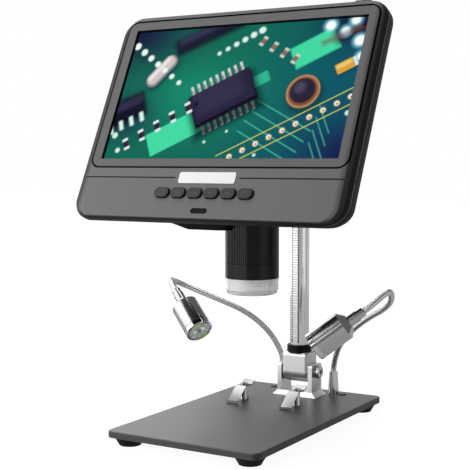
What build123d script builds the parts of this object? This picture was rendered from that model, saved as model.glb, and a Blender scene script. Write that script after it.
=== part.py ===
from build123d import *
import os
from math import atan, cos, degrees, pi, radians, sin, sqrt

# Digital microscope with a tilted display on a rack-and-pinion column, two gooseneck lamps and
# a specimen base. Millimetres. +Z is up, the user sits at -Y, X = 0 is the plane through the
# column and the lens. The origin is on the bench, under the middle of the base plate.

os.makedirs("parts", exist_ok=True)

# ---------------------------------------------------------------- general clearances
RUN_GAP = 0.30       # between curved faces of parts that move past each other
FIT_GAP = 0.08       # radial clearance of a shaft in its bore
SLIDE_GAP = 0.30     # flat faces that slide past each other
HOLE_GAP = 0.05      # radial clearance of a screw in a hole

# ---------------------------------------------------------------- base
BASE_W = 119.0
BASE_D = 196.0
BASE_T = 4.5
BASE_CORNER_R = 5.0
BASE_EDGE = 0.6
FOOT_H = 6.0
FOOT_TOP_R = 11.0
FOOT_BOTTOM_R = 7.5
FOOT_INSET = 1.0
FOOT_RECESS = 2.8
SCREW_R = 1.5
SCREW_HEAD_R = 2.75
SCREW_HEAD_H = 1.8
EARTH_SCREW_X = 30.7
EARTH_SCREW_Y = 88.0
EARTH_HEAD_H = 0.7

# ---------------------------------------------------------------- tilting column
POST_Y = 73.5
POST_R = 7.5
POST_TOP = 280.0
SPIGOT_R = 5.5
SPIGOT_L = 10.0
COLLAR_R = 9.7
COLLAR_H = 5.3
CAP_H = 3.0
PIVOT_H = 19.0           # pivot axis above the top of the base plate
BOLT_R = 3.0
BOLT_HEAD_R = 5.0
BOLT_HEAD_H = 3.5
BOLT_SOCKET_R = 1.9
NUT_R = 4.4
NUT_H = 2.2
BLOCK_W = 22.6
BLOCK_R = 8.8
BLOCK_H = 34.3           # top of the block above the base plate
BLOCK_CORNER_R = 3.0
BLOCK_ROUND = 2.5
EDGE = 0.6
EAR_T = 3.5
EAR_D = 16.7
EAR_H = 25.0
EAR_CORNER_R = 2.0
BRACKET_FLOOR = 3.6
BRACKET_FOOT_OUT = 3.6   # how far the splayed foot stands out at the sides
BRACKET_FOOT_FRONT = 1.8
BRACKET_SCREW_X = 8.0
BRACKET_SCREW_Y = 5.0

# ---------------------------------------------------------------- rack and pinion
GEAR_MODULE = 0.6
PINION_TEETH = 20
RACK_W = 6.0
RACK_T = 3.2
RACK_PROUD = 1.3         # how far the tooth tips stand out of the column
RACK_Z0 = 52.0
RACK_Z1 = 270.0
PINION_Z = 185.0
PINION_W = 7.0
SHAFT_R = 2.5
KNOB_R = 16.0
KNOB_W = 14.0
KNOB_RIBS = 30
KNOB_RIB_H = 0.6
KNOB_EDGE = 1.2
KNOB_FACE_R = 12.0
KNOB_FACE_DEPTH = 1.0
SLEEVE_Z = 160.0
SLEEVE_H = 50.0
SLEEVE_R = 13.0
FLANGE_W = 48.0
FLANGE_T = 4.0
FLANGE_SCREW_X = 19.0
FLANGE_SCREW_Z = 18.0

# ---------------------------------------------------------------- display housing
# local frame: x across, v up the display, n out of the display; n = 0 is the display glass
TILT = 25.9              # lean of the display from the vertical
SCREEN_Y = -53.7
SCREEN_Z = 194.7         # lower edge of the picture
VIEW_W = 188.2           # picture of an 8.5 inch 16:9 panel
VIEW_H = 105.9
LCD_LIP = 2.3            # margin of the panel round the picture
GLASS_T = 1.2
LCD_T = 3.8
FRAME_SIDE = 7.6         # inner frame, from the picture's edge outwards
FRAME_LOW = 6.3
FRAME_HIGH = 6.9
FRAME_CORNER_R = 7.5
FRAME_GROOVE = 1.0
FRAME_N = 1.9
FRAME_EDGE = 0.4
HEAD_SIDE = 6.0          # housing, from the inner frame outwards
HEAD_HIGH = 4.8
CHIN_H = 39.3
HEAD_CORNER_R = 15.0
FACE_N = 2.0
PART_N = -1.5            # parting line of the front and rear shells
EDGE_X = 10.0            # reach of the rounded edge at the sides
EDGE_V = 1.6             # and at the top and bottom
REAR_N = -15.5
SHELL_T = 2.0
CHIN_GROOVE_DROP = 8.2   # below the inner frame
CHIN_GROOVE_W = 1.0
CHIN_GROOVE_DEPTH = 0.6
CHIN_GROOVE_STOP = 3.0   # gap between the groove and the nameplate
PLATE_W = 44.8
PLATE_H = 8.2
PLATE_R = 1.5
PLATE_SINK = 0.5
PLATE_PROUD = 0.3
BUTTON_COUNT = 6
BUTTON_W = 12.0
BUTTON_H = 7.8
BUTTON_PITCH = 13.15
BUTTON_DROP = 19.6       # below the inner frame
BUTTON_N = 3.6
BUTTON_EDGE = 0.8
BUTTON_GAP = 0.25
BUTTON_WEB = 1.0         # thickness of the face round the buttons
BUTTON_FLANGE = 0.4
BUTTON_FLANGE_T = 0.6
BUTTON_TRAVEL = 0.8
IR_W = 13.0
IR_H = 4.0
IR_DROP = 32.35          # below the inner frame
IR_SINK = 0.6
BOARD_T = 1.6
SWITCH_W = 5.0
SWITCH_H = 1.7
MAIN_BOARD_W = 130.0
MAIN_BOARD_H = 72.0
CHIP_W = 16.0
CHIP_T = 1.4
CHIP_PITCH_X = 34.0
CHIP_PITCH_V = 30.0
POWER_INSET = 22.7       # from the side of the housing
POWER_W = 13.0
POWER_T = 5.0
POWER_N = -5.2
POWER_PROUD = 2.9
SOCKET_N = -7.0
USB_V = 40.0
USB_W = 9.0
USB_T = 3.2
USB_L = 7.4
USB_WALL = 0.6
USB_INSET = 0.4
CARD_V = 62.0
CARD_W = 13.0
CARD_T = 1.8
CARD_L = 12.0
CARD_INSET = 2.0
BOSS_R = 2.6
BOSS_INSET = 2.5         # screw, from the inner frame's side
BOSS_LOWER_V = 8.0
BOSS_UPPER_DROP = 5.9    # below the picture's upper edge
CHIN_BOSS_INSET = 22.7
CHIN_BOSS_DROP = 23.7
CASE_SCREW_R = 1.1
CASE_SCREW_HEAD_R = 2.0
CASE_SCREW_SINK = 1.4
VENT_W = 2.0
VENT_H = 16.0
VENT_PITCH = 5.0
VENT_COUNT = 9
VENT_DROP = 33.6         # below the housing's upper edge

# ---------------------------------------------------------------- camera housing and lens barrel
LENS_Y = -1.2
BARREL_R = 19.5
CAM_Z0 = 149.0
CAM_TOP = 222.0
CAM_BACK_Y = 26.0
CAM_LEFT = -58.0
CAM_RIGHT = 38.0
CAM_FRONT_Y = -28.0
CAM_V0 = -34.0
CAM_V1 = 46.0
CAM_EDGE_R = 6.0
CAM_WALL = 3.0
LOBE_Z = 144.4
LOBE_LEFT = -43.4
LOBE_RIGHT = -9.0
LOBE_FRONT_Y = -24.0
LOBE_BACK_Y = 12.0
LOBE_SPREAD_LEFT = 13.6
LOBE_SPREAD = 3.0
RING_Z0 = 120.5
RIB_COUNT = 80
RIB_H = 0.45
CORE_R = 16.8
CORE_BORE_R = 13.5
CORE_TOP = 163.0
LOWER_RING_Z = 109.6
KNURL_COUNT = 100
KNURL_H = 0.25
DIFFUSER_Z = 98.0
DIFFUSER_R = 19.2
DIFFUSER_WALL = 1.8
DIFFUSER_FLOOR = 1.6
DIFFUSER_HOLE_R = 8.0
DIFFUSER_CHAMFER = 1.3
DIFFUSER_CHAMFER_H = 3.0
DIFFUSER_TIP = 1.1
DIFFUSER_TIP_H = 0.6
LED_COUNT = 8
LED_SIZE = 3.0
LED_T = 1.0
LED_CIRCLE_R = 13.2
LENS_Z = 122.0
LENS_H = 20.0
LENS_R = 10.0
LENS_T = 5.0
LENS_BULGE = 1.6
SENSOR_BOARD = 30.0
SENSOR_CHIP = 10.0

# ---------------------------------------------------------------- gooseneck lamps
NECK_R = 2.3
NECK_X = 22.4
NECK_Y = 88.6
NECK_SEAT = 13.0         # depth of the neck in its ferrule
FERRULE_H = 17.7
FERRULE_R0 = 4.35
FERRULE_R1 = 3.2
STUD_R = 2.5
NECK_NUT_R = 4.6
NECK_NUT_H = 2.6
LAMP_R = 10.5
LAMP_L = 27.0
LAMP_CONE = 4.5
LAMP_TAIL_R = 4.1
LAMP_TAIL_L = 12.5
LAMP_TIP_R = 3.5           # last part of the tail sleeve
LAMP_TIP_L = 5.0
LAMP_WALL = 1.5
LAMP_BEZEL_L = 4.2
LAMP_GROOVE = 0.6
LAMP_GROOVE_DEPTH = 0.7
LAMP_LENS_T = 1.6
LAMP_LENS_SINK = 0.6
LAMP_LED_Z = 9.0
LAMP_BORE = 14.0
LEFT_LENS = (-48.4, 4.0, 65.6)
LEFT_AIM = (0.706, -0.333, -0.625)
RIGHT_LENS = (46.9, 4.7, 61.7)
RIGHT_AIM = (-0.731, -0.326, -0.600)

# ---------------------------------------------------------------- specimen clips
CLIP_POINTS = ((-29.0, 36.5), (16.0, 38.0))
CLIP_POST_R0 = 3.8
CLIP_POST_R1 = 2.4
CLIP_POST_H = 10.0
CLIP_SHEET = 0.8
CLIP_W = 9.0
CLIP_SLOPE_Y = 12.0      # horizontal reach of the sloping part
CLIP_HEAD_R = 3.2
CLIP_HEAD_H = 1.6
CROSS_L = 4.0
CROSS_W = 1.0
CLIP_TIP_GAP = 0.4

# ---------------------------------------------------------------- derived places
BASE_TOP = FOOT_H + BASE_T
PIVOT_Z = BASE_TOP + PIVOT_H
BLOCK_TOP = BASE_TOP + BLOCK_H
EAR_TOP = BASE_TOP + EAR_H
EAR_GAP = BLOCK_W + 2 * SLIDE_GAP
EAR_X = EAR_GAP / 2 + EAR_T
GEAR_PITCH = pi * GEAR_MODULE
PINION_R = GEAR_MODULE * PINION_TEETH / 2
RACK_TIP_Y = POST_Y - POST_R - RACK_PROUD
PINION_Y = RACK_TIP_Y + GEAR_MODULE - PINION_R
KNOB_X = SLEEVE_R + 1.5
RING_Z1 = CAM_Z0 - RUN_GAP
CORE_Z0 = RING_Z0 - RUN_GAP
LCD_W = VIEW_W + 2 * LCD_LIP
LCD_H = VIEW_H + 2 * LCD_LIP
FRAME_W = VIEW_W + 2 * FRAME_SIDE
FRAME_V0 = -FRAME_LOW
FRAME_V1 = VIEW_H + FRAME_HIGH
FRAME_H = FRAME_V1 - FRAME_V0
FRAME_MID = (FRAME_V1 + FRAME_V0) / 2
HEAD_W = FRAME_W + 2 * HEAD_SIDE
HEAD_V0 = FRAME_V0 - CHIN_H
HEAD_V1 = FRAME_V1 + HEAD_HIGH
HEAD_H = HEAD_V1 - HEAD_V0
HEAD_MID = (HEAD_V1 + HEAD_V0) / 2
POCKET_N = PART_N - 6.5  # depth of the wide part of the rear shell's hollow
POCKET_TOP = HEAD_V1 - 1.3 * SHELL_T
POCKET_LOW = HEAD_V0 + 1.9 * SHELL_T
CHIN_GROOVE_V = FRAME_V0 - CHIN_GROOVE_DROP
BUTTON_V = FRAME_V0 - BUTTON_DROP
IR_V = FRAME_V0 - IR_DROP
VENT_V = HEAD_V1 - VENT_DROP
POWER_X = HEAD_W / 2 - POWER_INSET
BOSS_X = FRAME_W / 2 - BOSS_INSET
BOSS_UPPER_V = VIEW_H - BOSS_UPPER_DROP
CHIN_BOSS_X = HEAD_W / 2 - CHIN_BOSS_INSET
CHIN_BOSS_V = FRAME_V0 - CHIN_BOSS_DROP
LAMP_TAIL_END = LAMP_L + LAMP_CONE + LAMP_TAIL_L

SCREEN = Plane(
    origin=(0, SCREEN_Y, SCREEN_Z),
    x_dir=(1, 0, 0),
    z_dir=(0, -cos(radians(TILT)), sin(radians(TILT))),
)
OUTWARD = Axis((0, 0, 0), SCREEN.z_dir)

foot_x = BASE_W / 2 - FOOT_INSET - FOOT_TOP_R
foot_y = BASE_D / 2 - FOOT_INSET - FOOT_TOP_R
foot_points = [(sx * foot_x, sy * foot_y) for sx in (-1, 1) for sy in (-1, 1)]
bracket_points = [
    (sx * BRACKET_SCREW_X, POST_Y + sy * BRACKET_SCREW_Y) for sx in (-1, 1) for sy in (-1, 1)
]
neck_points = [(-NECK_X, NECK_Y), (NECK_X, NECK_Y)]
earth_points = [(-EARTH_SCREW_X, EARTH_SCREW_Y), (EARTH_SCREW_X, EARTH_SCREW_Y)]


def ribbed_outline(radius, depth, count, centre=(0.0, 0.0)):
    """Corner points of a round outline with straight-sided grooves cut along it."""
    points = []
    step = 2 * pi / count
    for tooth in range(count):
        for share, r in ((0.0, radius), (0.5, radius), (0.55, radius - depth), (0.95, radius - depth)):
            angle = (tooth + share) * step
            points.append((centre[0] + r * cos(angle), centre[1] + r * sin(angle)))
    return points


# ================================================================ base
with BuildPart() as base_plate:
    with BuildSketch(Plane.XY.offset(FOOT_H)):
        RectangleRounded(BASE_W, BASE_D, BASE_CORNER_R)
    extrude(amount=BASE_T)
    chamfer(base_plate.faces().sort_by(Axis.Z)[-1].edges(), BASE_EDGE)
    with BuildSketch(Plane.XY.offset(FOOT_H)):
        with Locations(*bracket_points, *CLIP_POINTS, *earth_points):
            Circle(SCREW_R + HOLE_GAP)
        with Locations(*neck_points):
            Circle(STUD_R + HOLE_GAP)
    extrude(amount=BASE_T, mode=Mode.SUBTRACT)
    with BuildSketch(Plane.XY.offset(FOOT_H)):
        with Locations(*foot_points):
            Circle(SCREW_R + HOLE_GAP)
    extrude(amount=BASE_T - 2 * HOLE_GAP - BASE_EDGE, mode=Mode.SUBTRACT)

with BuildPart() as rubber_feet:
    with BuildSketch():
        with Locations(*foot_points):
            Circle(FOOT_BOTTOM_R)
    extrude(amount=FOOT_H, taper=-degrees(atan((FOOT_TOP_R - FOOT_BOTTOM_R) / FOOT_H)))
    with BuildSketch():
        with Locations(*foot_points):
            Circle(SCREW_HEAD_R + RUN_GAP)
    extrude(amount=FOOT_RECESS, mode=Mode.SUBTRACT)
    with BuildSketch():
        with Locations(*foot_points):
            Circle(SCREW_R + HOLE_GAP)
    extrude(amount=FOOT_H, mode=Mode.SUBTRACT)

with BuildPart() as base_screws:
    foot_screw_top = BASE_TOP - BASE_EDGE - 4 * HOLE_GAP
    bracket_screw_top = BASE_TOP + BRACKET_FLOOR - 6 * HOLE_GAP
    for points, seat, top in (
        (foot_points, FOOT_RECESS, foot_screw_top),
        (bracket_points, FOOT_H, bracket_screw_top),
    ):
        with BuildSketch(Plane.XY.offset(seat - SCREW_HEAD_H)):
            with Locations(*points):
                Circle(SCREW_HEAD_R)
        extrude(amount=SCREW_HEAD_H)
        with BuildSketch(Plane.XY.offset(seat)):
            with Locations(*points):
                Circle(SCREW_R)
        extrude(amount=top - seat)

with BuildPart() as earth_screws:
    with BuildSketch(Plane.XY.offset(BASE_TOP)):
        with Locations(*earth_points):
            Circle(SCREW_HEAD_R)
    extrude(amount=EARTH_HEAD_H)
    chamfer(earth_screws.faces().group_by(Axis.Z)[-1].edges(), EARTH_HEAD_H / 3)
    with BuildSketch(Plane.XY.offset(FOOT_H + BASE_EDGE)):
        with Locations(*earth_points):
            Circle(SCREW_R)
    extrude(amount=BASE_T - BASE_EDGE)

# ================================================================ clevis bracket and pivot
with BuildPart() as clevis_bracket:
    foot_d = EAR_D + 2 * BRACKET_FOOT_FRONT
    with BuildSketch(Plane.XY.offset(BASE_TOP)):
        with Locations((0, POST_Y)):
            Rectangle(2 * (EAR_X + BRACKET_FOOT_OUT), foot_d)
    with BuildSketch(Plane.XY.offset(BASE_TOP + BRACKET_FLOOR)):
        with Locations((0, POST_Y)):
            Rectangle(2 * EAR_X, EAR_D)
    loft()
    with BuildSketch(Plane.YZ.offset(-EAR_X)):
        with Locations((POST_Y, (BASE_TOP + EAR_TOP) / 2)):
            ear = Rectangle(EAR_D, EAR_H)
        fillet(ear.vertices().group_by(Axis.Z)[-1], EAR_CORNER_R)
    extrude(amount=2 * EAR_X)
    gap_h = EAR_TOP - BASE_TOP - BRACKET_FLOOR
    with Locations((0, POST_Y, EAR_TOP - gap_h / 2)):
        Box(EAR_GAP, EAR_D + 2 * BRACKET_FOOT_FRONT, gap_h, mode=Mode.SUBTRACT)
    with BuildSketch(Plane.YZ.offset(-EAR_X)):
        with Locations((POST_Y, PIVOT_Z)):
            Circle(BOLT_R + HOLE_GAP)
    extrude(amount=2 * EAR_X, mode=Mode.SUBTRACT)
    with BuildSketch(Plane.XY.offset(BASE_TOP)):
        with Locations(*bracket_points):
            Circle(SCREW_R + HOLE_GAP)
    extrude(amount=BRACKET_FLOOR - 2 * HOLE_GAP, mode=Mode.SUBTRACT)

with BuildPart() as pivot_bolt:
    with BuildSketch(Plane.YZ.offset(-EAR_X - NUT_H - 2 * HOLE_GAP)):
        with Locations((POST_Y, PIVOT_Z)):
            Circle(BOLT_R)
    extrude(amount=2 * EAR_X + NUT_H + 2 * HOLE_GAP)
    with BuildSketch(Plane.YZ.offset(EAR_X)):
        with Locations((POST_Y, PIVOT_Z)):
            Circle(BOLT_HEAD_R)
    extrude(amount=BOLT_HEAD_H)
    chamfer(pivot_bolt.faces().sort_by(Axis.X)[-1].edges(), EDGE)
    with BuildSketch(Plane.YZ.offset(EAR_X + BOLT_HEAD_H / 2)):
        with Locations((POST_Y, PIVOT_Z)):
            RegularPolygon(BOLT_SOCKET_R, 6)
    extrude(amount=BOLT_HEAD_H / 2, mode=Mode.SUBTRACT)

with BuildPart() as pivot_nut:
    with BuildSketch(Plane.YZ.offset(-EAR_X - NUT_H)):
        with Locations((POST_Y, PIVOT_Z)):
            RegularPolygon(NUT_R, 6)
            Circle(BOLT_R + HOLE_GAP, mode=Mode.SUBTRACT)
    extrude(amount=NUT_H)

with BuildPart() as pivot_block:
    with BuildSketch(Plane.YZ.offset(-BLOCK_W / 2)) as block_outline:
        with Locations((POST_Y, PIVOT_Z)):
            Circle(BLOCK_R)
        with Locations((POST_Y, (PIVOT_Z + BLOCK_TOP) / 2)):
            Rectangle(2 * BLOCK_R, BLOCK_TOP - PIVOT_Z)
        fillet(block_outline.vertices().group_by(Axis.Y)[-1], BLOCK_CORNER_R)
    extrude(amount=BLOCK_W)
    fillet(pivot_block.faces().filter_by(Axis.X).edges(), BLOCK_ROUND)
    with BuildSketch(Plane.YZ.offset(-BLOCK_W / 2)):
        with Locations((POST_Y, PIVOT_Z)):
            Circle(BOLT_R + FIT_GAP)
    extrude(amount=BLOCK_W, mode=Mode.SUBTRACT)
    with BuildSketch(Plane.XY.offset(BLOCK_TOP)):
        with Locations((0, POST_Y)):
            Circle(SPIGOT_R + HOLE_GAP)
    extrude(amount=-SPIGOT_L - 2 * HOLE_GAP, mode=Mode.SUBTRACT)

# ================================================================ column, rack and collar
with BuildPart() as post:
    with BuildSketch(Plane.XY.offset(BLOCK_TOP)):
        with Locations((0, POST_Y)):
            Circle(POST_R)
    extrude(amount=POST_TOP - BLOCK_TOP)
    with BuildSketch(Plane.XY.offset(BLOCK_TOP - SPIGOT_L)):
        with Locations((0, POST_Y)):
            Circle(SPIGOT_R)
    extrude(amount=SPIGOT_L)
    groove_back = RACK_TIP_Y + RACK_T
    with BuildSketch(Plane.XY.offset(RACK_Z0)):
        with Locations((0, groove_back - POST_R / 2)):
            Rectangle(RACK_W + 2 * HOLE_GAP, POST_R)
    extrude(amount=POST_TOP - RACK_Z0, mode=Mode.SUBTRACT)


def rack_outline():
    """Side view (Y, Z) of the rack: a tooth gap faces the pinion's centre height."""
    root_y = RACK_TIP_Y + 2.1 * GEAR_MODULE
    back_y = RACK_TIP_Y + RACK_T
    tip, root = 0.20 * GEAR_PITCH, 0.33 * GEAR_PITCH
    first = -int((PINION_Z - RACK_Z0) / GEAR_PITCH) + 1
    last = int((RACK_Z1 - PINION_Z) / GEAR_PITCH) - 1
    points = [(back_y, RACK_Z1), (back_y, RACK_Z0), (root_y, RACK_Z0)]
    for tooth in range(first, last):
        middle = PINION_Z + (tooth + 0.5) * GEAR_PITCH
        points += [
            (root_y, middle - root),
            (RACK_TIP_Y, middle - tip),
            (RACK_TIP_Y, middle + tip),
            (root_y, middle + root),
        ]
    return points + [(root_y, RACK_Z1)]


with BuildPart() as rack:
    with BuildSketch(Plane.YZ.offset(-RACK_W / 2)):
        Polygon(*rack_outline(), align=None)
    extrude(amount=RACK_W)

with BuildPart() as post_collar:
    with BuildSketch(Plane.XY.offset(BLOCK_TOP)):
        with Locations((0, POST_Y)):
            Circle(COLLAR_R)
            Circle(POST_R, mode=Mode.SUBTRACT)
    extrude(amount=COLLAR_H)
    chamfer(post_collar.faces().sort_by(Axis.Z)[-1].outer_wire().edges(), EDGE)

with BuildPart() as post_cap:
    with BuildSketch(Plane.XY.offset(POST_TOP)):
        with Locations((0, POST_Y)):
            Circle(POST_R)
    extrude(amount=CAP_H)
    fillet(post_cap.faces().sort_by(Axis.Z)[-1].edges(), CAP_H / 2)

# ================================================================ carriage with pinion and knobs
with BuildPart() as carriage:
    with BuildSketch(Plane.XY.offset(SLEEVE_Z)):
        with Locations((0, POST_Y)):
            Circle(SLEEVE_R)
        with Locations((0, (CAM_BACK_Y + POST_Y) / 2)):
            Rectangle(2 * SLEEVE_R, POST_Y - CAM_BACK_Y)
        with Locations((0, CAM_BACK_Y + FLANGE_T / 2)):
            Rectangle(FLANGE_W, FLANGE_T)
    extrude(amount=SLEEVE_H)
    with BuildSketch(Plane.XY.offset(SLEEVE_Z)):
        with Locations((0, POST_Y)):
            Circle(POST_R + FIT_GAP)
        channel_front = RACK_TIP_Y - RUN_GAP
        with Locations((0, (channel_front + POST_Y) / 2)):
            Rectangle(RACK_W + 2 * RUN_GAP, POST_Y - channel_front)
    extrude(amount=SLEEVE_H, mode=Mode.SUBTRACT)
    with BuildSketch(Plane.YZ.offset(-PINION_W / 2 - RUN_GAP)):
        with Locations((PINION_Y, PINION_Z)):
            Circle(PINION_R + 2 * GEAR_MODULE)
    extrude(amount=PINION_W + 2 * RUN_GAP, mode=Mode.SUBTRACT)
    with BuildSketch(Plane.YZ.offset(-SLEEVE_R)):
        with Locations((PINION_Y, PINION_Z)):
            Circle(SHAFT_R + FIT_GAP)
    extrude(amount=2 * SLEEVE_R, mode=Mode.SUBTRACT)
    sleeve_mid = SLEEVE_Z + SLEEVE_H / 2
    with BuildSketch(Plane.XZ.offset(-CAM_BACK_Y - FLANGE_T)):
        with Locations((0, sleeve_mid)):
            with GridLocations(2 * FLANGE_SCREW_X, 2 * FLANGE_SCREW_Z, 2, 2):
                Circle(SCREW_R + HOLE_GAP)
    extrude(amount=FLANGE_T, mode=Mode.SUBTRACT)

with BuildPart() as flange_screws:
    with BuildSketch(Plane.XZ.offset(-CAM_BACK_Y - FLANGE_T - SCREW_HEAD_H)):
        with Locations((0, sleeve_mid)):
            with GridLocations(2 * FLANGE_SCREW_X, 2 * FLANGE_SCREW_Z, 2, 2):
                Circle(SCREW_HEAD_R)
    extrude(amount=SCREW_HEAD_H)
    with BuildSketch(Plane.XZ.offset(-CAM_BACK_Y - FLANGE_T)):
        with Locations((0, sleeve_mid)):
            with GridLocations(2 * FLANGE_SCREW_X, 2 * FLANGE_SCREW_Z, 2, 2):
                Circle(SCREW_R)
    extrude(amount=FLANGE_T + CAM_WALL)


def pinion_outline():
    """Outline of the pinion, with one tooth pointing at the rack (+Y) at rest."""
    tip_r = PINION_R + 0.6 * GEAR_MODULE
    root_r = PINION_R - 1.2 * GEAR_MODULE
    step = 2 * pi / PINION_TEETH
    points = []
    for tooth in range(PINION_TEETH):
        for share, r in ((-0.24, root_r), (-0.10, tip_r), (0.10, tip_r), (0.24, root_r)):
            angle = (tooth + share) * step
            points.append((PINION_Y + r * cos(angle), PINION_Z + r * sin(angle)))
    return points


with BuildPart() as pinion_shaft:
    with BuildSketch(Plane.YZ.offset(-PINION_W / 2)):
        Polygon(*pinion_outline(), align=None)
    extrude(amount=PINION_W)
    with BuildSketch(Plane.YZ.offset(-KNOB_X - KNOB_W + KNOB_FACE_DEPTH)):
        with Locations((PINION_Y, PINION_Z)):
            Circle(SHAFT_R)
    extrude(amount=2 * (KNOB_X + KNOB_W - KNOB_FACE_DEPTH))


with BuildPart() as focus_knobs:
    knob_outline = ribbed_outline(KNOB_R, KNOB_RIB_H, KNOB_RIBS, (PINION_Y, PINION_Z))
    for side in (-1, 1):
        with BuildSketch(Plane.YZ.offset(side * KNOB_X)):
            Polygon(*knob_outline, align=None)
        extrude(amount=side * KNOB_W)
        with BuildSketch(Plane.YZ.offset(side * KNOB_X)):
            with Locations((PINION_Y, PINION_Z)):
                Circle(SHAFT_R)
        extrude(amount=side * KNOB_W, mode=Mode.SUBTRACT)
        with BuildSketch(Plane.YZ.offset(side * (KNOB_X + KNOB_W - KNOB_FACE_DEPTH))):
            with Locations((PINION_Y, PINION_Z)):
                Circle(KNOB_FACE_R)
        extrude(amount=side * KNOB_FACE_DEPTH, mode=Mode.SUBTRACT)

# ================================================================ display housing
EDGE_STEPS = (0.0, 22.5, 45.0, 67.5, 90.0)


def button_x(index):
    """Centre of a menu button, counted from the left."""
    return (index - (BUTTON_COUNT - 1) / 2) * BUTTON_PITCH


with BuildPart() as front_bezel:
    for angle in EDGE_STEPS:
        reach = 1 - cos(radians(angle))
        with BuildSketch(SCREEN.offset(PART_N + (FACE_N - PART_N) * sin(radians(angle)))):
            with Locations((0, HEAD_MID)):
                RectangleRounded(
                    HEAD_W - 2 * EDGE_X * reach,
                    HEAD_H - 2 * EDGE_V * reach,
                    HEAD_CORNER_R - (EDGE_X + EDGE_V) * reach / 2,
                )
    loft(ruled=True)
    with BuildSketch(SCREEN.offset(PART_N)):
        with Locations((0, FRAME_MID)):
            RectangleRounded(
                FRAME_W + 2 * FRAME_GROOVE, FRAME_H + 2 * FRAME_GROOVE, FRAME_CORNER_R + FRAME_GROOVE
            )
    extrude(amount=FACE_N - PART_N, mode=Mode.SUBTRACT)
    with BuildSketch(SCREEN.offset(FACE_N)):
        with Locations((0, CHIN_GROOVE_V)):
            Rectangle(HEAD_W, CHIN_GROOVE_W)
            Rectangle(PLATE_W + 2 * CHIN_GROOVE_STOP, CHIN_GROOVE_W, mode=Mode.SUBTRACT)
    extrude(amount=-CHIN_GROOVE_DEPTH, mode=Mode.SUBTRACT)
    with BuildSketch(SCREEN.offset(FACE_N)):
        with Locations((0, CHIN_GROOVE_V)):
            RectangleRounded(PLATE_W + 2 * HOLE_GAP, PLATE_H + 2 * HOLE_GAP, PLATE_R)
    extrude(amount=-PLATE_SINK, mode=Mode.SUBTRACT)
    with BuildSketch(SCREEN.offset(PART_N)):
        with Locations((0, BUTTON_V)):
            Rectangle(BUTTON_COUNT * BUTTON_PITCH + 2, BUTTON_H + 4)
    extrude(amount=FACE_N - BUTTON_WEB - PART_N, mode=Mode.SUBTRACT)
    with BuildSketch(SCREEN.offset(PART_N)):
        for index in range(BUTTON_COUNT):
            with Locations((button_x(index), BUTTON_V)):
                SlotOverall(BUTTON_W + 2 * BUTTON_GAP, BUTTON_H + 2 * BUTTON_GAP)
        with Locations((0, IR_V)):
            SlotOverall(IR_W, IR_H)
    extrude(amount=FACE_N - PART_N, mode=Mode.SUBTRACT)
    with BuildSketch(SCREEN.offset(PART_N)):
        with Locations((-CHIN_BOSS_X, CHIN_BOSS_V), (CHIN_BOSS_X, CHIN_BOSS_V)):
            Circle(CASE_SCREW_R + HOLE_GAP)
    extrude(amount=(FACE_N - PART_N) * 0.7, mode=Mode.SUBTRACT)

case_screw_points = [
    (sx * BOSS_X, v) for sx in (-1, 1) for v in (BOSS_LOWER_V, BOSS_UPPER_V)
] + [(sx * CHIN_BOSS_X, CHIN_BOSS_V) for sx in (-1, 1)]

with BuildPart() as inner_frame:
    with BuildSketch(SCREEN.offset(PART_N)):
        with Locations((0, FRAME_MID)):
            RectangleRounded(FRAME_W, FRAME_H, FRAME_CORNER_R)
    extrude(amount=FRAME_N - PART_N)
    chamfer(inner_frame.faces().sort_by(OUTWARD)[-1].edges(), FRAME_EDGE)
    with BuildSketch(SCREEN.offset(PART_N)):
        with Locations((0, VIEW_H / 2)):
            Rectangle(VIEW_W, VIEW_H)
    extrude(amount=FRAME_N - PART_N, mode=Mode.SUBTRACT)
    with BuildSketch(SCREEN.offset(PART_N)):
        with Locations((0, VIEW_H / 2)):
            Rectangle(LCD_W + 4 * HOLE_GAP, LCD_H + 4 * HOLE_GAP)
    extrude(amount=HOLE_GAP - PART_N, mode=Mode.SUBTRACT)
    with BuildSketch(SCREEN.offset(PART_N)):
        with Locations(*[(sx * BOSS_X, v) for sx in (-1, 1) for v in (BOSS_LOWER_V, BOSS_UPPER_V)]):
            Circle(CASE_SCREW_R + HOLE_GAP)
    extrude(amount=(FRAME_N - PART_N) * 0.7, mode=Mode.SUBTRACT)

with BuildPart() as display_glass:
    with BuildSketch(SCREEN.offset(-GLASS_T)):
        with Locations((0, VIEW_H / 2)):
            Rectangle(LCD_W, LCD_H)
    extrude(amount=GLASS_T)

with BuildPart() as lcd_panel:
    with BuildSketch(SCREEN.offset(-GLASS_T - LCD_T)):
        with Locations((0, VIEW_H / 2)):
            Rectangle(LCD_W, LCD_H)
    extrude(amount=LCD_T)

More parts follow.
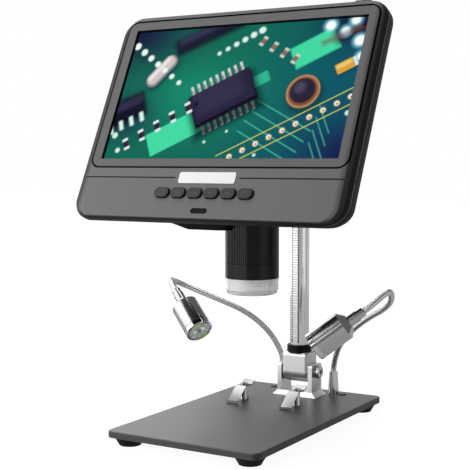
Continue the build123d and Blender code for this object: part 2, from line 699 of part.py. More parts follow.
with BuildPart() as rear_cover:
    for n, inset_x, inset_low in (
        (PART_N, 0.0, 0.0),
        (PART_N - 3.5, 0.0, 0.3),
        (PART_N - 7.5, 0.4, 2.2),
        (PART_N - 10.5, 1.6, 4.4),
        (PART_N - 12.6, 3.4, 6.6),
        (REAR_N, 6.6, 9.6),
    ):
        with BuildSketch(SCREEN.offset(n)):
            with Locations((0, HEAD_MID + (inset_low - inset_x) / 2)):
                RectangleRounded(
                    HEAD_W - 2 * inset_x,
                    HEAD_H - inset_low - inset_x,
                    HEAD_CORNER_R - (inset_x + inset_low) / 2,
                )
    loft(ruled=True)
    with BuildSketch(SCREEN.offset(PART_N)):
        with Locations((0, (POCKET_TOP + POCKET_LOW) / 2)):
            RectangleRounded(HEAD_W - 2.6 * SHELL_T, POCKET_TOP - POCKET_LOW, HEAD_CORNER_R - SHELL_T)
        with Locations(*case_screw_points):
            Circle(BOSS_R, mode=Mode.SUBTRACT)
    extrude(amount=POCKET_N - PART_N, mode=Mode.SUBTRACT)
    with BuildSketch(SCREEN.offset(POCKET_N)):
        with Locations((0, HEAD_MID + 3)):
            RectangleRounded(HEAD_W - 7 * SHELL_T, HEAD_H - 8 * SHELL_T, HEAD_CORNER_R - 2 * SHELL_T)
        with Locations(*case_screw_points):
            Circle(BOSS_R, mode=Mode.SUBTRACT)
    extrude(amount=REAR_N + SHELL_T - POCKET_N, mode=Mode.SUBTRACT)
    with BuildSketch(SCREEN.offset(REAR_N)):
        with Locations(*case_screw_points):
            Circle(CASE_SCREW_R + HOLE_GAP)
    extrude(amount=PART_N - REAR_N, mode=Mode.SUBTRACT)
    with BuildSketch(SCREEN.offset(REAR_N)):
        with Locations(*case_screw_points):
            Circle(CASE_SCREW_HEAD_R + RUN_GAP)
    extrude(amount=CASE_SCREW_SINK, mode=Mode.SUBTRACT)
    with BuildSketch(SCREEN.offset(REAR_N)):
        with Locations((0, VENT_V)):
            with GridLocations(VENT_PITCH, 0, VENT_COUNT, 1):
                SlotOverall(VENT_H, VENT_W, rotation=90)
    extrude(amount=SHELL_T, mode=Mode.SUBTRACT)
    with BuildSketch(SCREEN.offset(POWER_N - POWER_T / 2 - BUTTON_GAP)):
        with Locations((POWER_X, HEAD_V1)):
            Rectangle(POWER_W + 2 * BUTTON_GAP, 4 * SHELL_T)
    extrude(amount=POWER_T + 2 * BUTTON_GAP, mode=Mode.SUBTRACT)
    with BuildSketch(SCREEN.offset(SOCKET_N - USB_T / 2)):
        with Locations((-HEAD_W / 2, USB_V)):
            Rectangle(2 * (USB_L + 2 * USB_INSET), USB_W)
    extrude(amount=USB_T, mode=Mode.SUBTRACT)
    with BuildSketch(SCREEN.offset(SOCKET_N - CARD_T / 2)):
        with Locations((-HEAD_W / 2, CARD_V)):
            Rectangle(4 * SHELL_T, CARD_W)
    extrude(amount=CARD_T, mode=Mode.SUBTRACT)

with BuildPart() as case_screws:
    with BuildSketch(SCREEN.offset(REAR_N + CASE_SCREW_SINK)):
        with Locations(*case_screw_points):
            Circle(CASE_SCREW_HEAD_R)
    extrude(amount=-CASE_SCREW_SINK + HOLE_GAP)
    with BuildSketch(SCREEN.offset(REAR_N + CASE_SCREW_SINK)):
        with Locations(*case_screw_points):
            Circle(CASE_SCREW_R)
    extrude(amount=PART_N - REAR_N - CASE_SCREW_SINK + (FACE_N - PART_N) / 2)

with BuildPart() as nameplate:
    with BuildSketch(SCREEN.offset(FACE_N - PLATE_SINK)):
        with Locations((0, CHIN_GROOVE_V)):
            RectangleRounded(PLATE_W, PLATE_H, PLATE_R - HOLE_GAP)
    extrude(amount=PLATE_SINK + PLATE_PROUD)

with BuildPart() as ir_window:
    with BuildSketch(SCREEN.offset(PART_N)):
        with Locations((0, IR_V)):
            SlotOverall(IR_W - 2 * HOLE_GAP, IR_H - 2 * HOLE_GAP)
    extrude(amount=FACE_N - IR_SINK - PART_N)

flange_top = FACE_N - BUTTON_WEB - HOLE_GAP
switch_top = flange_top - BUTTON_FLANGE_T - BUTTON_TRAVEL - 2 * BUTTON_GAP
board_top = switch_top - SWITCH_H

with BuildPart() as button_board:
    with BuildSketch(SCREEN.offset(board_top - BOARD_T)):
        with Locations((0, (BUTTON_V + IR_V) / 2)):
            Rectangle(BUTTON_COUNT * BUTTON_PITCH, BUTTON_V - IR_V + 6)
    extrude(amount=BOARD_T)
    with BuildSketch(SCREEN.offset(board_top)):
        with Locations((0, BUTTON_V)):
            with GridLocations(BUTTON_PITCH, 0, BUTTON_COUNT, 1):
                Rectangle(SWITCH_W, SWITCH_W)
    extrude(amount=SWITCH_H)

with BuildPart() as main_board:
    main_board_n = REAR_N + 2 * SHELL_T
    with BuildSketch(SCREEN.offset(main_board_n)):
        with Locations((0, VIEW_H / 2)):
            Rectangle(MAIN_BOARD_W, MAIN_BOARD_H)
    extrude(amount=BOARD_T)
    with BuildSketch(SCREEN.offset(main_board_n + BOARD_T)):
        with Locations((0, VIEW_H / 2)):
            with GridLocations(CHIP_PITCH_X, CHIP_PITCH_V, 3, 2):
                Rectangle(CHIP_W, CHIP_W)
    extrude(amount=CHIP_T)


def menu_button(index):
    """One sprung menu button: a stadium cap with a retaining flange behind the face."""
    with BuildPart() as button:
        with BuildSketch(SCREEN.offset(flange_top)):
            with Locations((button_x(index), BUTTON_V)):
                SlotOverall(BUTTON_W, BUTTON_H)
        extrude(amount=BUTTON_N - flange_top)
        fillet(button.faces().sort_by(OUTWARD)[-1].edges(), BUTTON_EDGE)
        with BuildSketch(SCREEN.offset(flange_top)):
            with Locations((button_x(index), BUTTON_V)):
                SlotOverall(BUTTON_W + 2 * BUTTON_FLANGE, BUTTON_H + 4 * BUTTON_FLANGE)
        extrude(amount=-BUTTON_FLANGE_T)
    return button


menu_buttons = {f"menu_button_{index + 1}": menu_button(index) for index in range(BUTTON_COUNT)}

with BuildPart() as power_button:
    power_low = POCKET_TOP - HOLE_GAP
    with BuildSketch(SCREEN.offset(POWER_N - POWER_T / 2)):
        with Locations((POWER_X, (HEAD_V1 + POWER_PROUD + power_low) / 2)):
            Rectangle(POWER_W, HEAD_V1 + POWER_PROUD - power_low)
    extrude(amount=POWER_T)
    fillet(power_button.edges().filter_by(OUTWARD).sort_by(Axis.Z)[-2:], POWER_T / 3)
    with BuildSketch(SCREEN.offset(POWER_N - POWER_T / 2)):
        with Locations((POWER_X, power_low - BUTTON_WEB / 2)):
            Rectangle(POWER_W + 4 * BUTTON_FLANGE, BUTTON_WEB)
    extrude(amount=POWER_T)

with BuildPart() as usb_socket:
    with BuildSketch(SCREEN.offset(SOCKET_N - USB_T / 2 + HOLE_GAP)):
        with Locations((-HEAD_W / 2 + USB_L / 2 + USB_INSET, USB_V)):
            Rectangle(USB_L, USB_W - 2 * HOLE_GAP)
    extrude(amount=USB_T - 2 * HOLE_GAP)
    with BuildSketch(SCREEN.offset(SOCKET_N - USB_T / 2 + USB_WALL)):
        with Locations((-HEAD_W / 2 + USB_L / 2 + USB_INSET - USB_WALL, USB_V)):
            Rectangle(USB_L, USB_W - 2 * USB_WALL)
    extrude(amount=USB_T - 2 * USB_WALL, mode=Mode.SUBTRACT)

with BuildPart() as card_socket:
    with BuildSketch(SCREEN.offset(SOCKET_N - CARD_T / 2 + HOLE_GAP)):
        with Locations((-HEAD_W / 2 + CARD_L / 2 + CARD_INSET, CARD_V)):
            Rectangle(CARD_L, CARD_W - 2 * HOLE_GAP)
    extrude(amount=CARD_T - 2 * HOLE_GAP)

# ================================================================ camera housing
rear_line_y = SCREEN_Y - REAR_N * cos(radians(TILT))
rear_line_z = SCREEN_Z + REAR_N * sin(radians(TILT))


def on_rear(v):
    """Point (Y, Z) of the rear cover's back face at height v on the display."""
    return (rear_line_y + v * sin(radians(TILT)), rear_line_z + v * cos(radians(TILT)))


with BuildPart() as camera_housing:
    camera_profile = (
        on_rear(CAM_V0),
        on_rear(CAM_V1),
        (CAM_BACK_Y, CAM_TOP),
        (CAM_BACK_Y, CAM_Z0),
        (CAM_FRONT_Y, CAM_Z0),
    )
    with BuildSketch(Plane.YZ.offset(CAM_LEFT)):
        Polygon(*camera_profile, align=None)
    extrude(amount=CAM_RIGHT - CAM_LEFT)
    fillet(camera_housing.edges().filter_by(Axis.X).group_by(Axis.Y)[-1], CAM_EDGE_R)
    with BuildSketch(Plane.XY.offset(LOBE_Z)):
        with Locations(((LOBE_LEFT + LOBE_RIGHT) / 2, (LOBE_FRONT_Y + LOBE_BACK_Y) / 2)):
            RectangleRounded(LOBE_RIGHT - LOBE_LEFT, LOBE_BACK_Y - LOBE_FRONT_Y, CAM_EDGE_R)
    lobe_left = LOBE_LEFT - LOBE_SPREAD_LEFT
    lobe_right = LOBE_RIGHT + 2 * LOBE_SPREAD
    with BuildSketch(Plane.XY.offset(CAM_Z0)):
        with Locations(((lobe_left + lobe_right) / 2, (LOBE_FRONT_Y + LOBE_BACK_Y) / 2)):
            RectangleRounded(
                lobe_right - lobe_left, LOBE_BACK_Y - LOBE_FRONT_Y + 2 * LOBE_SPREAD, CAM_EDGE_R
            )
    loft()
    with BuildSketch(Plane.YZ.offset(CAM_LEFT + CAM_WALL)):
        Polygon(*camera_profile, align=None)
        offset(amount=-CAM_WALL, kind=Kind.INTERSECTION, mode=Mode.REPLACE)
    extrude(amount=CAM_RIGHT - CAM_LEFT - 2 * CAM_WALL, mode=Mode.SUBTRACT)
    with BuildSketch(Plane.XY.offset(CAM_Z0)):
        with Locations((0, LENS_Y)):
            Circle(CORE_R + CAM_WALL)
    extrude(amount=CORE_TOP - CAM_Z0)
    with BuildSketch(Plane.XY.offset(LOBE_Z)):
        with Locations((0, LENS_Y)):
            Circle(BARREL_R + 2 * RUN_GAP)
    extrude(amount=CAM_Z0 - LOBE_Z, mode=Mode.SUBTRACT)
    with BuildSketch(Plane.XY.offset(CAM_Z0)):
        with Locations((0, LENS_Y)):
            Circle(CORE_R + HOLE_GAP)
    extrude(amount=CORE_TOP - CAM_Z0, mode=Mode.SUBTRACT)
    with BuildSketch(Plane.XZ.offset(-CAM_BACK_Y)):
        with Locations((0, sleeve_mid)):
            with GridLocations(2 * FLANGE_SCREW_X, 2 * FLANGE_SCREW_Z, 2, 2):
                Circle(SCREW_R + HOLE_GAP)
    extrude(amount=CAM_WALL, mode=Mode.SUBTRACT)

with BuildPart() as image_sensor:
    with BuildSketch(Plane.XY.offset(CORE_TOP)):
        with Locations((0, LENS_Y)):
            Rectangle(SENSOR_BOARD, SENSOR_BOARD)
    extrude(amount=BOARD_T)
    with BuildSketch(Plane.XY.offset(CORE_TOP)):
        with Locations((0, LENS_Y)):
            Rectangle(SENSOR_CHIP, SENSOR_CHIP)
    extrude(amount=-BOARD_T)

# ================================================================ lens barrel
with BuildPart() as barrel_core:
    with BuildSketch(Plane.XY.offset(LOWER_RING_Z)):
        Polygon(*ribbed_outline(BARREL_R, KNURL_H, KNURL_COUNT, (0, LENS_Y)), align=None)
    extrude(amount=CORE_Z0 - LOWER_RING_Z)
    with BuildSketch(Plane.XY.offset(CORE_Z0)):
        with Locations((0, LENS_Y)):
            Circle(CORE_R)
    extrude(amount=CORE_TOP - CORE_Z0)
    with BuildSketch(Plane.XY.offset(LOWER_RING_Z)):
        with Locations((0, LENS_Y)):
            Circle(CORE_BORE_R)
    extrude(amount=CORE_TOP - LOWER_RING_Z, mode=Mode.SUBTRACT)

with BuildPart() as focus_ring:
    with BuildSketch(Plane.XY.offset(RING_Z0)):
        Polygon(*ribbed_outline(BARREL_R, RIB_H, RIB_COUNT, (0, LENS_Y)), align=None)
        with Locations((0, LENS_Y)):
            Circle(CORE_R + RUN_GAP, mode=Mode.SUBTRACT)
    extrude(amount=RING_Z1 - RING_Z0)

with BuildPart() as diffuser_cap:
    with BuildSketch(Plane.XZ.offset(-LENS_Y)):
        with BuildLine():
            Polyline(
                (DIFFUSER_HOLE_R, DIFFUSER_Z),
                (DIFFUSER_R - DIFFUSER_CHAMFER - DIFFUSER_TIP, DIFFUSER_Z),
                (DIFFUSER_R - DIFFUSER_CHAMFER, DIFFUSER_Z + DIFFUSER_TIP_H),
                (DIFFUSER_R, DIFFUSER_Z + DIFFUSER_TIP_H + DIFFUSER_CHAMFER_H),
                (DIFFUSER_R, LOWER_RING_Z),
                (DIFFUSER_R - DIFFUSER_WALL, LOWER_RING_Z),
                (DIFFUSER_R - DIFFUSER_WALL, DIFFUSER_Z + DIFFUSER_TIP_H + DIFFUSER_CHAMFER_H),
                (DIFFUSER_R - DIFFUSER_CHAMFER - DIFFUSER_WALL, DIFFUSER_Z + DIFFUSER_FLOOR),
                (DIFFUSER_HOLE_R, DIFFUSER_Z + DIFFUSER_FLOOR),
                close=True,
            )
        make_face()
    revolve(axis=Axis((0, LENS_Y, 0), (0, 0, 1)))

with BuildPart() as led_ring:
    led_board_z = LOWER_RING_Z - 2 * BOARD_T
    with BuildSketch(Plane.XY.offset(led_board_z)):
        with Locations((0, LENS_Y)):
            Circle(DIFFUSER_R - DIFFUSER_WALL - HOLE_GAP)
            Circle(DIFFUSER_HOLE_R + 1.5, mode=Mode.SUBTRACT)
    extrude(amount=2 * BOARD_T)
    with BuildSketch(Plane.XY.offset(led_board_z)):
        with Locations((0, LENS_Y)):
            with PolarLocations(LED_CIRCLE_R, LED_COUNT):
                Rectangle(LED_SIZE, LED_SIZE)
    extrude(amount=-LED_T)

lens_seat = (LENS_H - LENS_T) / 2

with BuildPart() as lens_group:
    with BuildSketch(Plane.XY.offset(LENS_Z)):
        with Locations((0, LENS_Y)):
            Circle(CORE_BORE_R - RUN_GAP)
            Circle(LENS_R, mode=Mode.SUBTRACT)
    extrude(amount=LENS_H)

lens_radius = (LENS_R**2 + LENS_BULGE**2) / (2 * LENS_BULGE)
lens_half_sag = lens_radius - sqrt(lens_radius**2 - LENS_R**2 / 4)
lens_low = LENS_Z + lens_seat
lens_high = lens_low + LENS_T

with BuildPart() as objective_lens:
    with BuildSketch(Plane.XZ.offset(-LENS_Y)):
        with BuildLine():
            ThreePointArc(
                (0, lens_low),
                (LENS_R / 2, lens_low + lens_half_sag),
                (LENS_R, lens_low + LENS_BULGE),
            )
            Line((LENS_R, lens_low + LENS_BULGE), (LENS_R, lens_high - LENS_BULGE))
            ThreePointArc(
                (LENS_R, lens_high - LENS_BULGE),
                (LENS_R / 2, lens_high - lens_half_sag),
                (0, lens_high),
            )
            Line((0, lens_high), (0, lens_low))
        make_face()
    revolve(axis=Axis((0, LENS_Y, 0), (0, 0, 1)))

# ================================================================ gooseneck lamps
with BuildPart() as neck_ferrules:
    with BuildSketch(Plane.XY.offset(BASE_TOP)):
        with Locations(*neck_points):
            Circle(FERRULE_R0)
    extrude(amount=FERRULE_H, taper=degrees(atan((FERRULE_R0 - FERRULE_R1) / FERRULE_H)))
    with BuildSketch(Plane.XY.offset(FOOT_H - NECK_NUT_H - 0.4)):
        with Locations(*neck_points):
            Circle(STUD_R)
    extrude(amount=BASE_T + NECK_NUT_H + 0.4)
    with BuildSketch(Plane.XY.offset(BASE_TOP + FERRULE_H)):
        with Locations(*neck_points):
            Circle(NECK_R + FIT_GAP)
    extrude(amount=-NECK_SEAT - RUN_GAP, mode=Mode.SUBTRACT)

with BuildPart() as neck_nuts:
    with BuildSketch(Plane.XY.offset(FOOT_H - NECK_NUT_H)):
        with Locations(*neck_points):
            RegularPolygon(NECK_NUT_R, 6)
        with Locations(*neck_points):
            Circle(STUD_R + HOLE_GAP, mode=Mode.SUBTRACT)
    extrude(amount=NECK_NUT_H)

# Points of each neck's centre line above the ferrule, and the radius of the bend at each
LEFT_ROUTE = (
    (-22.4, 88.6, 31.0),
    (-23.6, 86.0, 41.5),
    (-31.9, 80.2, 58.2),
    (-48.0, 71.6, 73.1),
    (-70.5, 61.4, 83.3),
    (-103.0, 48.9, 97.0),
)
LEFT_BENDS = (20.0, 24.0, 50.0, 76.0, 400.0, 14.0, 18.0)
RIGHT_ROUTE = (
    (22.4, 88.6, 31.4),
    (26.3, 84.1, 41.4),
    (33.0, 78.6, 52.8),
    (46.2, 73.0, 65.6),
    (63.4, 64.5, 77.2),
    (78.2, 56.5, 84.8),
    (88.8, 47.0, 93.0),
    (93.4, 33.0, 103.4),
)
RIGHT_BENDS = (12.0, 40.0, 40.0, 90.0, 90.0, 60.0, 18.0, 9.0, 20.0)
LEFT_LEAD = 12.0         # run of each neck straight out of its lamp's tail
RIGHT_LEAD = 7.0
TAIL_SEAT = 6.0          # depth of the neck in the lamp's tail


def lamp_plane(lens, aim, back=0.0):
    """Plane across a lamp, 'back' behind its front edge, with its normal towards the tail."""
    tail = Vector(*aim).normalized() * -1
    return Plane(origin=Vector(*lens) + tail * back, z_dir=tail)


def gooseneck(foot, route, bends, run, lens, aim):
    """Stiff metal neck from its ferrule to the lamp's tail."""
    tail = lamp_plane(lens, aim, LAMP_TAIL_END - TAIL_SEAT).origin
    lead = lamp_plane(lens, aim, LAMP_TAIL_END + run).origin
    seat = Vector(foot[0], foot[1], BASE_TOP + FERRULE_H - NECK_SEAT)
    with BuildPart() as neck:
        with BuildLine() as centre:
            FilletPolyline(seat, *[Vector(*point) for point in route], lead, tail, radius=list(bends))
        with BuildSketch(Plane(origin=seat, z_dir=centre.line % 0)):
            Circle(NECK_R)
        sweep(path=centre.line)
    return neck


def lamp_body(lens, aim):
    """Turned metal lamp head with a conical shoulder and a tail sleeve for the neck."""
    with BuildPart() as body:
        with BuildSketch(lamp_plane(lens, aim, LAMP_BEZEL_L)):
            Circle(LAMP_R - LAMP_GROOVE_DEPTH)
        extrude(amount=LAMP_GROOVE)
        with BuildSketch(lamp_plane(lens, aim, LAMP_BEZEL_L + LAMP_GROOVE)):
            Circle(LAMP_R)
        extrude(amount=LAMP_L - LAMP_BEZEL_L - LAMP_GROOVE)
        with BuildSketch(lamp_plane(lens, aim, LAMP_L)):
            Circle(LAMP_R)
        extrude(amount=LAMP_CONE, taper=degrees(atan((LAMP_R - LAMP_TAIL_R - 1.2) / LAMP_CONE)))
        with BuildSketch(lamp_plane(lens, aim, LAMP_L + LAMP_CONE)):
            Circle(LAMP_TAIL_R)
        extrude(amount=LAMP_TAIL_L - LAMP_TIP_L)
        with BuildSketch(lamp_plane(lens, aim, LAMP_TAIL_END - LAMP_TIP_L)):
            Circle(LAMP_TIP_R)
        extrude(amount=LAMP_TIP_L)
        with BuildSketch(lamp_plane(lens, aim, LAMP_BEZEL_L)):
            Circle(LAMP_R - LAMP_WALL)
        extrude(amount=LAMP_BORE - LAMP_BEZEL_L, mode=Mode.SUBTRACT)
        with BuildSketch(lamp_plane(lens, aim, LAMP_TAIL_END)):
            Circle(NECK_R + HOLE_GAP)
        extrude(amount=-TAIL_SEAT - HOLE_GAP, mode=Mode.SUBTRACT)
    return body


def lamp_bezel(lens, aim):
    """Ring that holds the lamp's lens."""
    with BuildPart() as bezel:
        with BuildSketch(lamp_plane(lens, aim)):
            Circle(LAMP_R)
            Circle(LAMP_R - LAMP_WALL, mode=Mode.SUBTRACT)
        extrude(amount=LAMP_BEZEL_L)
        front = bezel.faces().sort_by(Axis((0, 0, 0), Vector(*aim)))[-1]
        chamfer(front.outer_wire().edges(), LAMP_WALL / 3)
    return bezel


def lamp_lens(lens, aim):
    """Clear front lens of a lamp."""
    with BuildPart() as disc:
        with BuildSketch(lamp_plane(lens, aim, LAMP_LENS_SINK)):
            Circle(LAMP_R - LAMP_WALL)
        extrude(amount=LAMP_LENS_T)
    return disc


def lamp_leds(lens, aim):
    """Round board with a ring of light-emitting diodes behind the lens."""
    with BuildPart() as board:
        with BuildSketch(lamp_plane(lens, aim, LAMP_LED_Z)):
            Circle(LAMP_R - LAMP_WALL)
        extrude(amount=BOARD_T)
        with BuildSketch(lamp_plane(lens, aim, LAMP_LED_Z)):
            with PolarLocations(LAMP_R / 2, 4):
                Circle(LED_SIZE / 2)
        extrude(amount=-2 * LED_T)
    return board


left_neck = gooseneck(neck_points[0], LEFT_ROUTE, LEFT_BENDS, LEFT_LEAD, LEFT_LENS, LEFT_AIM)
right_neck = gooseneck(neck_points[1], RIGHT_ROUTE, RIGHT_BENDS, RIGHT_LEAD, RIGHT_LENS, RIGHT_AIM)

# ================================================================ specimen clips
with BuildPart() as clip_posts:
    with BuildSketch(Plane.XY.offset(BASE_TOP)):
        with Locations(*CLIP_POINTS):
            Circle(CLIP_POST_R0)
    extrude(amount=CLIP_POST_H, taper=degrees(atan((CLIP_POST_R0 - CLIP_POST_R1) / CLIP_POST_H)))
    with BuildSketch(Plane.XY.offset(FOOT_H)):
        with Locations(*CLIP_POINTS):
            Circle(SCREW_R)
    extrude(amount=BASE_T)

clip_z = BASE_TOP + CLIP_POST_H + FIT_GAP

with BuildPart() as clip_screws:
    with BuildSketch(Plane.XY.offset(clip_z + CLIP_SHEET + FIT_GAP)):
        with Locations(*CLIP_POINTS):
            Circle(CLIP_HEAD_R)
    extrude(amount=CLIP_HEAD_H)
    chamfer(clip_screws.faces().group_by(Axis.Z)[-1].edges(), CLIP_HEAD_H / 3)
    with BuildSketch(Plane.XY.offset(clip_z + CLIP_SHEET + FIT_GAP + CLIP_HEAD_H)):
        with Locations(*CLIP_POINTS):
            Rectangle(CROSS_L, CROSS_W)
            Rectangle(CROSS_W, CROSS_L)
    extrude(amount=-CLIP_HEAD_H / 2, mode=Mode.SUBTRACT)
    with BuildSketch(Plane.XY.offset(BASE_TOP + CLIP_POST_H)):
        with Locations(*CLIP_POINTS):
            Circle(SCREW_R)
    extrude(amount=CLIP_SHEET + 2 * FIT_GAP)


def clip_arm(x, y):
    """Bent sheet arm: a finger tab behind the screw, a slope down to the specimen and a lip."""
    low = BASE_TOP + CLIP_TIP_GAP
    top = clip_z + CLIP_SHEET
    slope_start = y - 4.5
    slope_end = slope_start - CLIP_SLOPE_Y
    with BuildPart() as arm:
        with BuildSketch(Plane.YZ.offset(x - CLIP_W / 2)):
            Polygon(
                (y + 9.0, top + 2.6),
                (y + 4.5, top),
                (slope_start, top),
                (slope_end, low + CLIP_SHEET),
                (slope_end - 3.0, low + 2 * CLIP_SHEET),
                (slope_end - 3.0, low + CLIP_SHEET),
                (slope_end - 0.3, low),
                (slope_start - 0.3, clip_z),
                (y + 4.8, clip_z),
                (y + 9.3, clip_z + 2.6),
                align=None,
            )
        extrude(amount=CLIP_W)
        with BuildSketch(Plane.XY.offset(clip_z)):
            with Locations((x, y)):
                Circle(SCREW_R + FIT_GAP)
        extrude(amount=CLIP_SHEET, mode=Mode.SUBTRACT)
    return arm


# ================================================================ export
pieces = {
    "base_plate": base_plate,
    "rubber_feet": rubber_feet,
    "base_screws": base_screws,
    "earth_screws": earth_screws,
    "clevis_bracket": clevis_bracket,
    "pivot_bolt": pivot_bolt,
    "pivot_nut": pivot_nut,
    "neck_ferrules": neck_ferrules,
    "neck_nuts": neck_nuts,
    "clip_posts": clip_posts,
    "clip_screws": clip_screws,
    "left_clip": clip_arm(*CLIP_POINTS[0]),
    "right_clip": clip_arm(*CLIP_POINTS[1]),
    "pivot_block": pivot_block,
    "post": post,
    "rack": rack,
    "post_collar": post_collar,
    "post_cap": post_cap,
    "carriage": carriage,
    "flange_screws": flange_screws,
    "pinion_shaft": pinion_shaft,
    "focus_knobs": focus_knobs,
    "front_bezel": front_bezel,
    "inner_frame": inner_frame,
    "display_glass": display_glass,
    "lcd_panel": lcd_panel,
    "rear_cover": rear_cover,
    "case_screws": case_screws,
    "nameplate": nameplate,
    "ir_window": ir_window,
    "button_board": button_board,
    "main_board": main_board,
    "power_button": power_button,
    "usb_socket": usb_socket,
    "card_socket": card_socket,
    "camera_housing": camera_housing,
    "image_sensor": image_sensor,
    "barrel_core": barrel_core,
    "focus_ring": focus_ring,
    "diffuser_cap": diffuser_cap,
    "led_ring": led_ring,
    "lens_group": lens_group,
    "objective_lens": objective_lens,
    "left_neck": left_neck,
    "right_neck": right_neck,
    **menu_buttons,
}
for side, lens, aim in (("left", LEFT_LENS, LEFT_AIM), ("right", RIGHT_LENS, RIGHT_AIM)):
    pieces[f"{side}_lamp_body"] = lamp_body(lens, aim)
    pieces[f"{side}_lamp_bezel"] = lamp_bezel(lens, aim)
    pieces[f"{side}_lamp_lens"] = lamp_lens(lens, aim)
    pieces[f"{side}_lamp_leds"] = lamp_leds(lens, aim)

for node, piece in pieces.items():
    piece.part.label = node
    export_step(piece.part, f"parts/{node}.step")
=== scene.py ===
"""A digital microscope with a tilted display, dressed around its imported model. The file goes in the order in which
the microscope is put together: base, bracket, column, focus drive, camera, lens barrel, display, lamps and clips."""

import bpy
import numpy as np
from mathutils import Matrix, Vector


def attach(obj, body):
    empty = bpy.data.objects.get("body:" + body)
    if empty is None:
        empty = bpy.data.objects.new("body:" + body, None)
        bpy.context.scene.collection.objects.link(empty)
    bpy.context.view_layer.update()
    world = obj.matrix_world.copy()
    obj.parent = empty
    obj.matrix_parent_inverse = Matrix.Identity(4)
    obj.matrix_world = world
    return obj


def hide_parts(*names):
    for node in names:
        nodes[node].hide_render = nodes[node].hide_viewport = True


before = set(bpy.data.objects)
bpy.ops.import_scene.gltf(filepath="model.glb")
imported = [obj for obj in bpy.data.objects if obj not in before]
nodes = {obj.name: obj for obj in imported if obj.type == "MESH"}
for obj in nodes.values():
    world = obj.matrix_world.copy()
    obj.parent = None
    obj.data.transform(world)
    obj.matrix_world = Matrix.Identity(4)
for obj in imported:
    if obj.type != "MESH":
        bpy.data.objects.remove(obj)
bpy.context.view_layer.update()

# ---- Studio ----------------------------------------------------------------------------------
# A white seamless table in soft light, seen from a low stand at the right-hand front corner of the
# microscope. White reflector cards stand round it in a darker room, so that bright metal shows edges.
CAMERA_PLACE = (0.393742, -0.684276, 0.196378)
CAMERA_AZIMUTH = 30.852
CAMERA_ELEVATION = 4.063
CAMERA_ROLL = -0.059
FOCAL_PIXELS = 1095.534
FRAME_PIXELS = 470
SENSOR_MM = 36.0
TABLE_HEX = "525251"
TABLE_HALF = 4.0
TABLE_GLOW = (0.95, 1.0)  # seen brightness of the table under the microscope and far from it
GLOW_REACH = (0.14, 0.75)  # distances from the middle, between which that brightness rises
AMBIENT = 0.12
TABLE_IN_METAL = 0.4  # share of the glow that polished metal and glass see
ROOM_IN_METAL = 0.16
CARD_DISTANCE = 0.8
KEY_LIGHT = ((-0.85, -0.95, 0.5), (0, 0, 0.18), 0.9, 12.5)  # place, aim, size in metres and power in watts
TOP_LIGHT = ((-0.5, 0.0, 1.8), (0, 0, 0.1), 1.2, 20)
REFLECTORS = {  # azimuths in degrees, heights in metres, brightness
    "front": ((-30, 6), (0.0, 0.37), 1.5),
    "left": ((-85, -30), (0.0, 1.05), 1.5),
    "right": ((66, 104), (0.0, 0.6), 0.85),
    "back_right": ((136, 172), (0.0, 0.55), 0.6),
    "back": ((188, 214), (0.0, 0.37), 1.0),
    "back_left": ((214, 262), (0.0, 0.55), 1.9),
}


def linear(hex_colour):
    """The linear RGBA of an sRGB hex value: each channel c becomes ((c + 0.055) / 1.055) to the power 2.4."""
    srgb = np.array([int(hex_colour[i : i + 2], 16) for i in (0, 2, 4)]) / 255
    rgb = np.where(srgb <= 0.04045, srgb / 12.92, ((srgb + 0.055) / 1.055) ** 2.4)
    return (*rgb.tolist(), 1.0)


def add_node(tree, kind, inputs=(), **settings):
    """Adds a node with its settings, and gives its sockets, by name or number, a value or a link."""
    node = tree.nodes.new(kind)
    for name, value in settings.items():
        setattr(node, name, value)
    for name, value in dict(inputs).items():
        if isinstance(value, bpy.types.NodeSocket):
            tree.links.new(value, node.inputs[name])
        else:
            node.inputs[name].default_value = value
    return node


def new_material(name, hex_colour, roughness, metallic=0.0, **sockets):
    """A named material of one shader, with its colour, roughness and any further sockets set."""
    material = bpy.data.materials.new(name)
    material.use_nodes = True
    shader = material.node_tree.nodes["Principled BSDF"]
    shader.inputs["Base Color"].default_value = linear(hex_colour)
    shader.inputs["Roughness"].default_value = roughness
    shader.inputs["Metallic"].default_value = metallic
    for socket, value in sockets.items():
        shader.inputs[socket.replace("_", " ")].default_value = value
    return material


azimuth, elevation, roll = np.radians([CAMERA_AZIMUTH, CAMERA_ELEVATION, CAMERA_ROLL])
backward = Vector(
    (np.sin(azimuth) * np.cos(elevation), -np.cos(azimuth) * np.cos(elevation), np.sin(elevation))
)
level = Vector((0, 0, 1)).cross(backward).normalized()
upright = backward.cross(level)
turn = Matrix((level, upright, backward)).transposed() @ Matrix.Rotation(roll, 3, "Z")
camera_data = bpy.data.cameras.new("camera")
camera_data.sensor_width = SENSOR_MM
camera_data.lens = SENSOR_MM * FOCAL_PIXELS / FRAME_PIXELS
camera_data.clip_start = 0.01
camera = bpy.data.objects.new("camera", camera_data)
camera.matrix_world = Matrix.Translation(CAMERA_PLACE) @ turn.to_4x4()
bpy.context.scene.collection.objects.link(camera)
bpy.context.scene.camera = camera


def studio_sheet(name, corners, material):
    """A flat four-cornered sheet of the studio."""
    mesh = bpy.data.meshes.new(name)
    mesh.from_pydata(corners, [], [range(len(corners))])
    mesh.materials.append(material)
    sheet = bpy.data.objects.new(name, mesh)
    bpy.context.scene.collection.objects.link(sheet)
    return sheet


# White matt card: it glows for the eye and for polished metal, more so away from the microscope,
# so that its far edge melts into the white behind it, and it keeps the microscope's soft shadow.
table = new_material("table_white_card", TABLE_HEX, 0.9)
table.cycles.emission_sampling = "NONE"  # its glow is only looked at, and lights nothing


